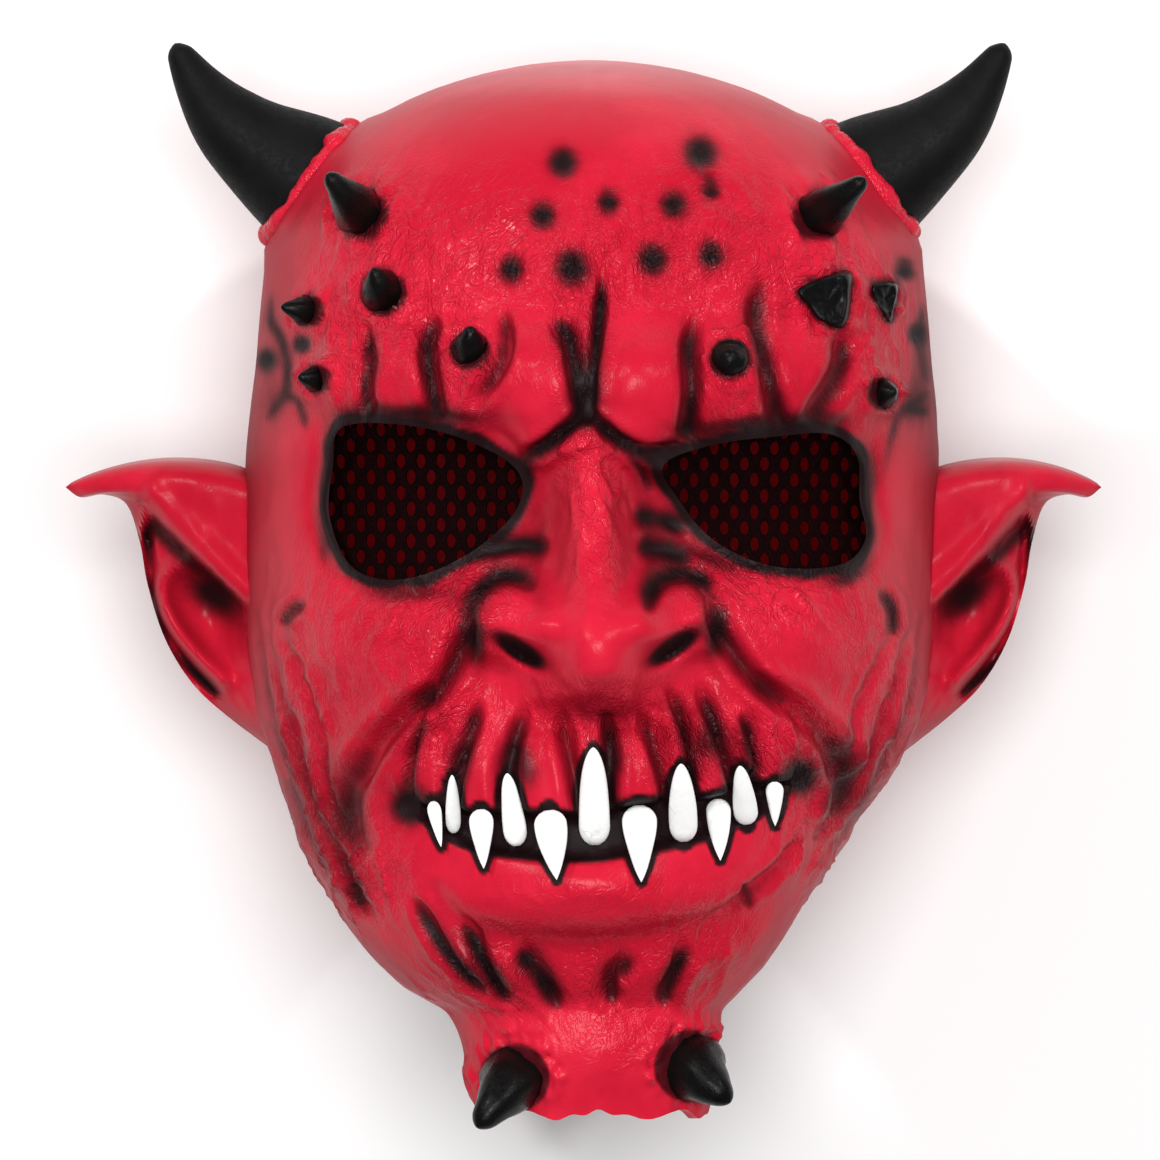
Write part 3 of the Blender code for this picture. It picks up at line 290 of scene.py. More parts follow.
# Ears: the outline of the image's left ear from its lobe up to the tip, as outward reach and height
EAR_RIM = [
    (79, -46), (95, -34), (104, -25.5), (111, -14), (115.5, 0), (117.5, 11), (121, 21), (127, 23.6),
    (133, 22.9), (137, 25.5),
]
EAR_RIDGE = [(104.7, 6.7), (110.6, 2.4), (111.8, -3.0), (108.4, -10.6), (102.2, -18.2), (96.0, -24.5)]
EAR_GROOVE = [(115.6, 14.0), (115.0, 5.0), (114.6, -4.0), (111.4, -12.5), (105.4, -20.5), (98.0, -28.0)]
EAR_TOP_BOW = 5.6
EAR_ROOT_TOP_Y = 29.5
EAR_SINK = 2.2
EAR_ROWS, EAR_STEPS = 64, 34
EAR_FRONT_Z, EAR_EDGE_Z, EAR_BACK_Z = 124.0, 101.0, 90.0
EAR_FOLD_STARTS, EAR_TIP_STARTS = 91.3, 113.5
RIGHT_EAR_REACH = 0.93
EAR_DEPTH_LEVEL = 112.0
# Painted shade over all of each ear, darker than the face where the ears turn from the light
EAR_PAINTED_SHADE = 0.17

# Big horns: centre line of the left one from base to tip, and the radius at each point
HORN_LINE = [
    (-58, 95, 108), (-74, 105.8, 114), (-88.1, 115.2, 118), (-95.4, 121.7, 119.5), (-101.8, 129.9, 120.5),
    (-106.4, 137.6, 121), (-108.1, 141.0, 121),
]
HORN_RADIUS = [19.5, 17.2, 12.4, 9.8, 6.5, 3.8, 2.3]
COLLAR_RISE, COLLAR_WIDTH = 1.2, 4.5
ROLL_REACH, ROLL_RADIUS, COLLAR_STEPS, COLLAR_SIDES = 17.2, 2.5, 150, 16

# Spikes: base x, y, tip x, y, how far the tip stands up, base radius, tip radius
SPIKES = {
    "temple_left": (-59, 96, -67.8, 106, 18, 7.0, 1.6),
    "brow_left": (-53.3, 75.5, -56.0, 81.5, 10, 6.2, 0.9),
    "side_left_upper": (-73, 71, -80, 72, 6, 4.4, 0.8),
    "side_left_lower": (-70.5, 53.3, -75.5, 53.8, 6, 3.8, 0.8),
    "middle_left": (-31, 60.4, -30.8, 66.5, 8, 5.2, 1.0),
    "middle_right": (36.0, 58.2, 36.4, 60.6, 4.6, 5.4, 2.6),
    "temple_right": (59, 95.5, 71, 104.8, 18, 6.8, 1.6),
    "side_right_lower": (75.5, 49.5, 79.2, 50.2, 6.5, 4.2, 0.8),
    "chin_left": (-19.5, -127.5, -29.2, -140, 12, 9.0, 2.2),
    "chin_right": (26, -124.5, 36.2, -133.6, 11, 9.4, 2.2),
}
# Spikes that are torn or cut off: outline of the break in the plane of the face, and how far it stands up
BROKEN_SPIKES = {
    "brow_right": ([(53.8, 76.7), (66.0, 80.6), (67.1, 75.1), (65.3, 67.1), (59.5, 68.4), (56.7, 72.0)], 4.0),
    "side_right_upper": ([(73.1, 77.6), (79.3, 77.6), (78.7, 71.5), (77.5, 68.4), (74.4, 72.8)], 3.0),
}
# Rings of such a stump: size, and height as a share of its rise, or in mm where it is sunk
STUMP_RINGS = ((1.12, -3.0), (1.02, 0.35), (0.95, 0.75), (0.84, 0.97), (0.66, 1.0), (0.4, 1.0), (0.1, 1.0))

# Teeth: root x, y, tip x, y and half-width
TEETH = [
    (-40.6, -55.8, -38.4, -67.5, 1.7), (-35.2, -64, -35.6, -49, 1.9), (-28.2, -57.8, -27.4, -73, 3.0),
    (-18.8, -67.2, -21.4, -48.5, 2.9), (-10.6, -58, -8.6, -75.8, 4.2), (1.2, -67, 0.8, -41.8, 4.0),
    (12.6, -56.8, 13.2, -76.4, 4.3), (24.2, -66.2, 23.4, -46, 3.6), (33, -55.2, 33.6, -71, 3.2),
    (40.6, -61.8, 38.6, -46.6, 3.0), (47.6, -50.8, 47.8, -62.2, 2.2),
]

NET_HOLE_WIDTH, NET_HOLE_HEIGHT = 2.5, 3.9
NET_PITCH_X, NET_PITCH_Y = 5.2, 8.2
NET_THICKNESS, NET_MARGIN, NET_SUNK, NET_WAVE = 0.7, 2.4, 0.6, 0.25
HOLE_CORNERS = 12
# A reach that takes in every point
FAR = 1e3

# Places along each outline, line or tube, and points round a tube
EYE_STEPS, LID_STEPS, STUMP_STEPS, BAND_STEPS, EAR_LINE_STEPS = 96, 80, 40, 60, 20
HORN_STEPS, HORN_SIDES = 70, 56
SPIKE_STEPS, SPIKE_SIDES = 26, 30
TOOTH_STEPS, TOOTH_SIDES = 36, 22


def smooth_step(low, high, value):
    """0 below low, 1 above high, and 3t^2 - 2t^3 between them."""
    share = np.clip((value - low) / (high - low), 0, 1)
    return share * share * (3 - 2 * share)


def curve_through(places, values, at):
    """Monotone cubic through values at descending places, each slope the harmonic mean of its neighbours."""
    places = -np.array(places, float)
    values = np.array(values, float)
    at = np.clip(-np.asarray(at, float), places[0], places[-1])
    step = np.diff(places)
    rise = np.diff(values) / step
    slope = np.zeros(len(places))
    product = rise[1:] * rise[:-1]
    slope[1:-1] = np.where(product > 0, 2 * product / (rise[1:] + rise[:-1] + 1e-12), 0)
    slope[0], slope[-1] = rise[0], rise[-1]
    i = np.clip(np.searchsorted(places, at, side="right") - 1, 0, len(step) - 1)
    t = (at - places[i]) / step[i]
    return (
        values[i] * (1 + 2 * t) * (1 - t) ** 2
        + slope[i] * step[i] * t * (1 - t) ** 2
        + values[i + 1] * t * t * (3 - 2 * t)
        + slope[i + 1] * step[i] * t * t * (t - 1)
    )


def rounded_curve(values, y):
    """The square root of a smooth curve through the squares, so that it closes roundly at the crown."""
    return np.sqrt(np.clip(curve_through(LEVEL, np.square(np.array(values, float)), y), 0, None))


def spline(points, count):
    """Open Catmull-Rom curve: each stretch is the cubic set by its two ends and their neighbours."""
    points = np.array(points, float)
    padded = np.vstack([2 * points[0] - points[1], points, 2 * points[-1] - points[-2]])
    place = np.linspace(0, len(points) - 1, count)
    i = np.minimum(place.astype(int), len(points) - 2)
    t = (place - i)[:, None]
    p0, p1, p2, p3 = (padded[i + k] for k in range(4))
    return 0.5 * (
        2 * p1 + (p2 - p0) * t + (2 * p0 - 5 * p1 + 4 * p2 - p3) * t**2 + (3 * p1 - p0 - 3 * p2 + p3) * t**3
    )


def closed_spline(points, count):
    """Closed Catmull-Rom curve through the points."""
    points = list(points)
    wrapped = points[-2:] + points + points[:3]
    whole = spline(wrapped, (len(wrapped) - 1) * 24 + 1)[48 : 48 + 24 * len(points)]
    return whole[np.linspace(0, len(whole), count, endpoint=False).astype(int)]


def near_line(x, y, line, reach):
    """Distance to a broken line and the share of its length at the nearest place, for points within reach."""
    low, high = line.min(axis=0) - reach, line.max(axis=0) + reach
    inside = np.flatnonzero((x > low[0]) & (x < high[0]) & (y > low[1]) & (y < high[1]))
    px, py = x[inside], y[inside]
    best, along = np.full(px.shape, 1e9), np.zeros(px.shape)
    for k in range(len(line) - 1):
        a, d = line[k], line[k + 1] - line[k]
        t = np.clip(((px - a[0]) * d[0] + (py - a[1]) * d[1]) / (d @ d), 0, 1)
        away = np.hypot(px - a[0] - t * d[0], py - a[1] - t * d[1])
        closer = away < best
        best = np.where(closer, away, best)
        along = np.where(closer, (k + t) / (len(line) - 1), along)
    return inside, best, along


def near_loop(x, y, loop, reach):
    """Distance to a closed line, for points within reach."""
    inside, away, _ = near_line(x, y, np.vstack([loop, loop[:1]]), reach)
    return inside, away


def bell(value):
    """e to the minus value squared."""
    return np.exp(-(value**2))


def fading_ends(along):
    """1 in the middle of a stroke, going to 0 at both its ends."""
    return np.clip(6 * along * (1 - along), 0, 1) ** 0.6


def turned(x, y, turn):
    """The two coordinates on axes turned by so many degrees."""
    c, s = math.cos(math.radians(turn)), math.sin(math.radians(turn))
    return x * c + y * s, y * c - x * s


def swelling(x, y, middle_x, middle_y, half_x, half_y, turn, height, power=1.0):
    """Height times e to the minus (u^2 + v^2)^power, with u and v as shares of the turned half-widths."""
    u, v = turned(x - middle_x, y - middle_y, turn)
    return height * np.exp(-(((u / half_x) ** 2 + (v / half_y) ** 2) ** power))


def lattice_noise(points, size, seed):
    """Random numbers at the corners of cubes of one size, blended by a smooth step on each axis."""
    place = points / size
    cell = np.floor(place).astype(np.int64)
    t = place - cell
    t = t * t * (3 - 2 * t)
    total = np.zeros(points.shape[:-1])
    for corner in range(8):
        offset = np.array([(corner >> k) & 1 for k in range(3)])
        key = (cell + offset) @ np.array([73856093, 19349663, 83492791]) + seed * 40503
        key = ((key ^ (key >> 13)) * 1274126177) & 0xFFFFFFFF
        value = ((key ^ (key >> 15)) & 0xFFFF) / 32767.5 - 1
        total += value * np.prod(np.where(offset, t, 1 - t), axis=-1)
    return total


def nose(x, y):
    """A ridge across each level: height times e to the minus |x / half-width|^power."""
    tables = (NOSE_HEIGHT, NOSE_HALF_WIDTH, NOSE_LEAN)
    high, wide, lean = (curve_through(NOSE_LEVEL, table, y) for table in tables)
    return high * np.exp(-(np.abs((x - lean) / wide) ** NOSE_POWER))


def nostril(x, y, middle_x, middle_y, turn):
    """A slot, counted downwards from 0."""
    halves = (NOSTRIL_HALF_LENGTH, NOSTRIL_HALF_WIDTH)
    return swelling(x, y, middle_x, middle_y, *halves, turn, -NOSTRIL_DEPTH, NOSTRIL_POWER)


def broad_relief(x, y):
    """Sum of the nose and the soft and firm forms of the face, in the direction of the face."""
    soft = sum(swelling(x, y, *form) for form in FORMS)
    return nose(x, y) + soft + sum(swelling(x, y, *form, LOBE_POWER) for form in BROW_LOBES)


def furrows(x, y):
    """Each furrow is a bell-shaped valley with a low shoulder on each side, fading at its ends."""
    relief = np.zeros_like(x)
    for half_width, depth, _, points in STROKES:
        if not depth:
            continue
        inside, away, along = near_line(x, y, spline(points, STROKE_STEPS), 6 * half_width)
        taper = fading_ends(along)
        wide = half_width * (0.65 + 0.35 * taper)
        shoulder = bell((away - SHOULDER_AT * wide) / (SHOULDER_WIDTH * wide))
        relief[inside] -= FURROW_GAIN * depth * taper * (bell(away / wide) - SHOULDER_RISE * shoulder)
    return DEEPEST * np.tanh(relief / DEEPEST) * (relief < 0) + relief * (relief >= 0)


def mouth_field(x, y):
    """Place inside the black band of the mouth: 1 on its middle line, 0 at its edge, and less outside."""
    band = spline(MOUTH_BAND, BAND_STEPS)
    inside, away, along = near_line(x, y, band[:, :2], 16)
    wide = np.interp(along, np.linspace(0, 1, len(band)), band[:, 2])
    field = np.full(x.shape, -9.0)
    field[inside] = 1 - away / wide
    return field


def lip_fingers(x, y):
    """Rounded columns of the upper lip: half-round across, steady along and ending in a steep round foot."""
    relief = np.zeros_like(x)
    for top_x, top_y, foot_x, foot_y, half_width in LIP_FINGERS:
        line = np.array([(top_x, top_y), (foot_x, foot_y + 0.4 * half_width)])
        inside, away, along = near_line(x, y, line, 3 * half_width)
        grown = smooth_step(0, 0.6, along)
        bump = np.sqrt(np.clip(1 - (away / (1.25 * half_width)) ** 2, 0, 1))
        relief[inside] = np.maximum(relief[inside], FINGER_RISE * grown * bump)
    return relief


def crumple_strength(x, y):
    """How crumpled each place is along each crease direction: the table's places, by nearest direction."""
    strength = np.zeros((len(x), len(CREASE_DIRECTIONS)))
    for middle_x, middle_y, half_x, half_y, turn, amount in CRUMPLED:
        apart = [abs((turn - direction + 90) % 180 - 90) for direction in CREASE_DIRECTIONS]
        strength[:, apart.index(min(apart))] += swelling(x, y, middle_x, middle_y, half_x, half_y, 0, amount)
    return np.minimum(strength, MOST_CRUMPLED)


def crumple(x, y, z):
    """Creases: thin ridges where noise stretched along a place's own direction crosses zero, at two sizes."""
    relief = np.zeros_like(x)
    warp = lattice_noise(np.stack([x, y, z], -1), 9, 5)
    for number, (middle_x, middle_y, half_x, half_y, turn, amount) in enumerate(CRUMPLED):
        near = (np.abs(x - middle_x) < 2.2 * half_x) & (np.abs(y - middle_y) < 2.2 * half_y)
        weight = swelling(x[near], y[near], middle_x, middle_y, half_x, half_y, 0, amount)
        lengthwise, across = turned(x[near], y[near], turn)
        across = across + CREASE_WANDER * warp[near]
        for size, rise in CREASES:
            places = np.stack([lengthwise / (CREASE_STRETCH * size), across / size, z[near] / (2 * size)], -1)
            noise = np.abs(lattice_noise(places, 1.0, 13 + 7 * number + int(size)))
            relief[near] += weight * rise * np.clip(1 - noise / RIDGE_HALF_WIDTH, 0, 1) ** RIDGE_SHARPNESS
    return np.minimum(relief, CREASE_LIMIT)


def lumps_round_spikes(x, y, z):
    """Torn lumps of skin in a ring round the foot of each spike."""
    relief = np.zeros_like(x)
    noise = lattice_noise(np.stack([x, y, z], -1), 2.6, 31)
    feet = [(row[0], row[1], row[5]) for row in SPIKES.values()]
    for outline, _ in BROKEN_SPIKES.values():
        middle = np.mean(outline, axis=0)
        feet.append((middle[0], middle[1], 0.5 * np.ptp(np.array(outline)[:, 0])))
    for foot_x, foot_y, radius in feet:
        away = np.hypot(x - foot_x, y - foot_y)
        relief += bell((away - 1.15 * radius) / (0.22 * radius + 0.9)) * (1.2 + 1.8 * noise)
    return relief


def eye_distance(x, y):
    """Distance from the nearer eye outline."""
    nearest = np.full(x.shape, 99.0)
    for outline in EYES.values():
        inside, away = near_loop(x, y, closed_spline(outline, LID_STEPS), 12)
        nearest[inside] = np.minimum(nearest[inside], away)
    return nearest


def fine_relief(points):
    """All the carving that the outer skin alone carries, along its normal."""
    x, y, z = (points[..., k].ravel() for k in range(3))
    relief = furrows(x, y) + lip_fingers(x, y) + crumple(x, y, z) + lumps_round_spikes(x, y, z)
    for middle_x, middle_y, radius in DIMPLES:
        half = DIMPLE_SHARE * radius
        relief -= swelling(x, y, middle_x, middle_y, half, half, 0, DIMPLE_DEPTH)
    lid = eye_distance(x, y)
    groove = LID_GROOVE * bell((lid - LID_GROOVE_AT) / LID_GROOVE_WIDTH)
    relief += LID_RISE * bell(lid / LID_HALF_WIDTH) - groove
    relief -= MOUTH_DEPTH * smooth_step(-0.15, 0.5, mouth_field(x, y))
    for middle_x, middle_y, radius, depth in MOUTH_CORNERS:
        relief -= swelling(x, y, middle_x, middle_y, radius, radius, 0, depth)
    return relief.reshape(points.shape[:-1])


def horn_axis(side):
    """Where a big horn starts, and the direction in which it leaves the head."""
    start = np.array(HORN_LINE[0], float) * (side, 1, 1)
    axis = np.array(HORN_LINE[1], float) * (side, 1, 1) - start
    return start, axis / np.linalg.norm(axis)


def collar(points):
    """A low swelling where a big horn leaves the head: a bell across a ring round the horn's axis."""
    rise = np.zeros(points.shape[:-1])
    for side in (1, -1):
        start, axis = horn_axis(side)
        away = points - start
        radial = np.linalg.norm(away - (away @ axis)[..., None] * axis, axis=-1)
        ring = bell((radial - HORN_RADIUS[0]) / COLLAR_WIDTH)
        rise = rise + COLLAR_RISE * ring * ((away @ axis) > -HORN_RADIUS[0])
    return rise


def rolled_collar(tree, side):
    """A lumpy roll round a big horn's foot: a closed tube laid on the skin, found by rays along the horn."""
    start, axis = horn_axis(side)
    first = np.cross(axis, (0.0, 0.0, 1.0))
    first /= np.linalg.norm(first)
    second = np.cross(axis, first)
    turn = np.linspace(0, 2 * math.pi, COLLAR_STEPS, endpoint=False)
    outward = np.cos(turn)[:, None] * first + np.sin(turn)[:, None] * second
    origins = (start + 70 * axis + ROLL_REACH * outward) * MM
    path = np.array([tree.ray_cast(Vector(origin), Vector(-axis))[0] for origin in origins]) / MM
    for _ in range(4):
        path = (np.roll(path, 1, axis=0) + 2 * path + np.roll(path, -1, axis=0)) / 4
    tangent = np.roll(path, -1, axis=0) - np.roll(path, 1, axis=0)
    tangent /= np.linalg.norm(tangent, axis=1, keepdims=True)
    upright = np.cross(tangent, outward)
    lumps = 1 + 0.42 * lattice_noise(path, 5.0, 47) + 0.34 * lattice_noise(path, 2.6, 53)
    rings = path[:, None] + ROLL_RADIUS * lumps[:, None, None] * circles(outward, upright, COLLAR_SIDES)
    ring = np.arange(COLLAR_SIDES)
    starts = COLLAR_SIDES * np.arange(COLLAR_STEPS)
    faces = [q for a, b in zip(starts, np.roll(starts, -1)) for q in ring_quads(a + ring, b + ring)]
    return rings.reshape(-1, 3), faces


def plain_head(turn, y):
    """A level ring at each height: |x/a|^n + |z/b|^n = 1, with its lowest part clamped to the floor."""
    s, c = np.sin(turn), np.cos(turn)
    out = (np.abs(s) ** SQUARENESS + np.abs(c) ** SQUARENESS) ** (-1 / SQUARENESS)
    depth = np.where(c > 0, rounded_curve(FRONT, y), rounded_curve(BACK, y))
    x = curve_through(LEVEL, SIDEWAYS, y) + rounded_curve(HALF_WIDTH, y) * s * out
    z = curve_through(LEVEL, MIDDLE_Z, y) + depth * c * out
    z = (z + np.sqrt(z * z + BACK_SOFTNESS**2)) / 2
    return np.stack([x, y, np.maximum(z - 1.0, 0)], axis=-1)


def hem_y(turn):
    """Height of the hem: level under the chin, slanting back up to the nape, and a little ragged."""
    back = smooth_step(math.radians(62), math.pi, np.abs(turn))
    ragged = 0.9 * np.sin(9 * turn + 1) + 0.5 * np.sin(19 * turn + 2 * np.sin(5 * turn))
    return HEM_Y + (NAPE_Y - HEM_Y) * back + ragged


def grid_of(columns, dome_rows, face_rows):
    """Turn and height of each point: columns crowded towards the face, a dome of rows, then even rows."""
    place = np.linspace(-1, 1, columns, endpoint=False)
    turn = math.pi * (FRONT_CROWDING * place + (1 - FRONT_CROWDING) * place**3)
    dome = CROWN_Y - (CROWN_Y - DOME_Y) * (1 - np.cos(np.linspace(0, math.pi / 2, dome_rows + 1)[1:]))
    share = np.linspace(0, 1, face_rows + 1)[1:]
    face = DOME_Y + share[:, None] * (hem_y(turn) - DOME_Y)[None, :]
    y = np.vstack([np.repeat(dome[:, None], columns, axis=1), face])
    return np.broadcast_to(turn, y.shape), y


def grid_normals(points):
    """Unit normals of a grid that closes round its second axis, from the differences of its neighbours."""
    across = np.roll(points, -1, axis=1) - np.roll(points, 1, axis=1)
    along = np.gradient(points, axis=0)
    normal = np.cross(along, across)
    return normal / np.maximum(np.linalg.norm(normal, axis=-1, keepdims=True), 1e-9)


def facing(turn):
    """1 over the face and 0 over the back."""
    return smooth_step(0.02, 0.5, np.cos(turn))


def outer_skin():
    """The smooth head pushed out by the broad forms, then by the fine carving along its own normal."""
    turn, y = grid_of(COLUMNS, DOME_ROWS, FACE_ROWS)
    points = plain_head(turn, y)
    points[..., 2] += broad_relief(points[..., 0], points[..., 1]) * facing(turn)
    slots = sum(nostril(points[..., 0], points[..., 1], *pit) for pit in NOSTRILS)
    normal = grid_normals(points)
    front = smooth_step(-0.1, 0.25, np.cos(turn))
    front = front * (0.15 + 0.85 * smooth_step(HEM_Y + 1, HEM_Y + 12, y))
    fine = fine_relief(points) * front + 0.12 * lattice_noise(points, 5, 3) * (points[..., 2] > 1)
    points = points + normal * (fine + collar(points))[..., None]
    points[..., 2] += slots * facing(turn)
    points[..., 2] = np.maximum(points[..., 2], 0)
    return points


def lining():
    """The inside: the same head without its fine carving, one wall further in."""
    turn, y = grid_of(COLUMNS, LINING_DOME_ROWS, LINING_FACE_ROWS)
    base = plain_head(turn, y)
    x, level = base[..., 0], base[..., 1]
    relief = LINING_SHARE * broad_relief(x, level) + sum(swelling(x, level, *form) for form in LINING_FORMS)
    points = base.copy()
    points[..., 2] += relief * facing(turn)
    thick = WALL + FACE_WALL_EXTRA * smooth_step(0.0, 0.6, np.cos(turn))
    thick += JAW_WALL_EXTRA * bell((y - JAW_BEND_Y) / JAW_BEND_REACH) * (np.cos(turn) > -0.8)
    points = points - grid_normals(points) * thick[..., None]
    points[-1] = base[-1] - grid_normals(base)[-1] * WALL
    points[-1, :, 1] = y[-1]
    return points


def ring_quads(first, second):
    """Quads between two closed rings of vertex numbers."""
    return list(np.stack([first, second, np.roll(second, -1), np.roll(first, -1)], axis=1))


def fan(ring, tip):
    """Triangles from a closed ring of vertex numbers to one vertex."""
    return [[a, tip, b] for a, b in zip(ring, np.roll(ring, -1))]


def circles(first, second, sides):
    """Round each place of a path, so many directions in the plane of its two given directions."""
    angle = np.linspace(0, 2 * math.pi, sides, endpoint=False)
    return np.cos(angle)[None, :, None] * first[:, None] + np.sin(angle)[None, :, None] * second[:, None]


def capped_tube(rings, tip, root=None):
    """Rings joined by quads and closed by a fan at the tip. The root has a fan too, or else one flat face."""
    count, sides = rings.shape[:2]
    ring = np.arange(sides)
    points = np.vstack([rings.reshape(-1, 3), [tip] if root is None else [tip, root]])
    faces = [ring] if root is None else fan(ring, count * sides + 1)
    for start in sides * np.arange(count - 1):
        faces += ring_quads(start + sides + ring, start + ring)
    return points, faces + fan((count - 1) * sides + ring, count * sides)


def piece(name, points, faces, materials, weld=False):
    """A smooth mesh object at the origin from points in millimetres."""
    mesh = bpy.data.meshes.new(name)
    mesh.from_pydata(np.asarray(points, float).reshape(-1, 3) * MM, [], [tuple(map(int, f)) for f in faces])
    for material in materials:
        mesh.materials.append(material)
    work = bmesh.new()
    work.from_mesh(mesh)
    if weld:
        bmesh.ops.remove_doubles(work, verts=work.verts, dist=WELD_GAP * MM)
    bmesh.ops.recalc_face_normals(work, faces=work.faces)
    work.to_mesh(mesh)
    work.free()
    mesh.shade_smooth()
    obj = bpy.data.objects.new(name, mesh)
    bpy.context.scene.collection.objects.link(obj)
    return obj


def joined(obj, other, operation):
    """The mesh after joining or cutting with another closed mesh, which is then removed."""
    modifier = obj.modifiers.new(operation.lower(), "BOOLEAN")
    modifier.operation = operation
    modifier.object = other
    modifier.solver = "MANIFOLD"
    bpy.context.view_layer.update()
    mesh = bpy.data.meshes.new_from_object(obj.evaluated_get(bpy.context.evaluated_depsgraph_get()))
    obj.modifiers.remove(modifier)
    obj.data = mesh
    bpy.data.objects.remove(other, do_unlink=True)


def head_shell(painted, bare):
    """The skin and the lining as one closed mesh, joined round the hem. The lining has its own material."""
    outside, inside = outer_skin(), lining()
    crown = np.array([[0.0, CROWN_Y, MIDDLE_Z[0]]])
    points = np.vstack([crown, outside.reshape(-1, 3), crown - (0, WALL, 0), inside.reshape(-1, 3)])
    ring = np.arange(COLUMNS)
    out_rings = [1 + r * COLUMNS + ring for r in range(len(outside))]
    start = 2 + len(outside) * COLUMNS
    in_rings = [start + r * COLUMNS + ring for r in range(len(inside))]
    faces = fan(out_rings[0], 0)
    for first, second in zip(out_rings, out_rings[1:] + in_rings[-1:]):
        faces += ring_quads(first, second)
    bare_from = len(faces)
    for first, second in zip(in_rings[:0:-1], in_rings[-2::-1]):
        faces += ring_quads(first, second)
    faces += fan(in_rings[0], start - 1)
    obj = piece("latex_skin", points, faces, [painted, bare])
    index = np.zeros(len(obj.data.polygons), np.int32)
    index[bare_from:] = 1
    obj.data.polygons.foreach_set("material_index", index)
    return obj


def eye_cutter(name, outline, material):
    """A tall upright prism on an eye outline."""
    loop = closed_spline(outline, EYE_STEPS)
    count = len(loop)
    points = np.vstack([np.column_stack([loop, np.full(count, z)]) for z in (CUTTER_BOTTOM, CUTTER_TOP)])
    ring = np.arange(count)
    return piece(name, points, ring_quads(ring, count + ring) + [ring, count + ring[::-1]], [material])


def head_side(y, z):
    """How far out the side of the smooth head stands at a height and a depth."""
    front = np.maximum(rounded_curve(FRONT, y), 1e-6)
    share = np.clip((z - curve_through(LEVEL, MIDDLE_Z, y)) / front, 0, 1)
    return rounded_curve(HALF_WIDTH, y) * (1 - share**SQUARENESS) ** (1 / SQUARENESS)


def fold_distance(out, up):
    """How far above the slanting edge of an ear's fold, a line that drops away fast near the ear's tip."""
    slanting = (up + 4.4 - 0.966 * (out - EAR_FOLD_STARTS)) / 1.39
    return slanting + 0.5 * np.maximum(out - EAR_TIP_STARTS, 0) ** 2


def ear_front(out, up, share_out):
    """Front of an ear: a bulging fold above a slanting line, and below it a hollow, a ridge and a groove."""
    past_fold = fold_distance(out, up)
    fold = smooth_step(-0.9, 1.3, past_fold)
    below = swelling(out, up, 98, -7.5, 8.5, 12, -28, -13) - 5
    for line, height, half_width in ((EAR_RIDGE, 6.0, 2.6), (EAR_GROOVE, -4.5, 1.3)):
        _, away, _ = near_line(out.ravel(), up.ravel(), spline(line, EAR_LINE_STEPS), FAR)
        below = below + height * bell(away.reshape(out.shape) / half_width)
    leaf = 4.5 * np.sin(np.pi * share_out) + 3.0 * bell((past_fold - 3.5) / 3.5)
    return EAR_FRONT_Z - 20 * share_out**0.8 + fold * leaf + (1 - fold) * below


def ear(name, side, reach, material):
    """A pointed ear: each row runs from the head's side out to the rim, front and back, and closes there."""
    rim = spline(EAR_RIM, EAR_ROWS)
    share_up = np.linspace(0, 1, EAR_ROWS)
    root_y = EAR_RIM[0][1] + (EAR_ROOT_TOP_Y - EAR_RIM[0][1]) * share_up
    root_x = head_side(root_y, EAR_DEPTH_LEVEL) - EAR_SINK
    share_out = np.linspace(0, 1, EAR_STEPS)
    out = root_x[:, None] + (rim[:, 0] - root_x)[:, None] * share_out
    up = root_y[:, None] + (rim[:, 1] - root_y)[:, None] * share_out
    up = up + EAR_TOP_BOW * (share_up**3)[:, None] * np.sin(np.pi * share_out) ** 0.7
    so, su = np.broadcast_to(share_out, out.shape), np.broadcast_to(share_up[:, None], out.shape)
    full = np.sqrt(np.clip(1 - so**10, 0, 1)) * np.sqrt(np.clip(1 - (2 * su - 1) ** 14, 0, 1))
    grain = 0.35 * lattice_noise(np.stack([out * side, up, so * 40], -1), 4.5, 61)
    edge = EAR_EDGE_Z - 2 * so
    front = edge + (ear_front(out, up, so) + grain - edge) * full
    back = edge + (EAR_BACK_Z + 6 * so - edge) * full
    out = root_x[:, None] + (out - root_x[:, None]) * (1 + (reach - 1) * so)
    points = np.vstack([np.stack([out * side, up, z], axis=-1).reshape(-1, 3) for z in (front, back)])
    count = EAR_ROWS * EAR_STEPS
    number = np.arange(count).reshape(EAR_ROWS, EAR_STEPS)
    behind = number + count
    behind[0], behind[-1], behind[:, -1] = number[0], number[-1], number[:, -1]
    faces = []
    for sheet, flip in ((number, 1), (behind, -1)):
        quads = np.stack([sheet[:-1, :-1], sheet[:-1, 1:], sheet[1:, 1:], sheet[1:, :-1]], -1).reshape(-1, 4)
        faces += [list(q[::flip]) for q in quads]
    for r in range(EAR_ROWS - 1):
        faces.append(list(dict.fromkeys((number[r, 0], number[r + 1, 0], behind[r + 1, 0], behind[r, 0]))))
    used, numbers = np.unique(np.concatenate(faces), return_inverse=True)
    ends = np.cumsum([len(f) for f in faces])[:-1]
    return piece(name, points[used], np.split(numbers.reshape(-1), ends), [material])


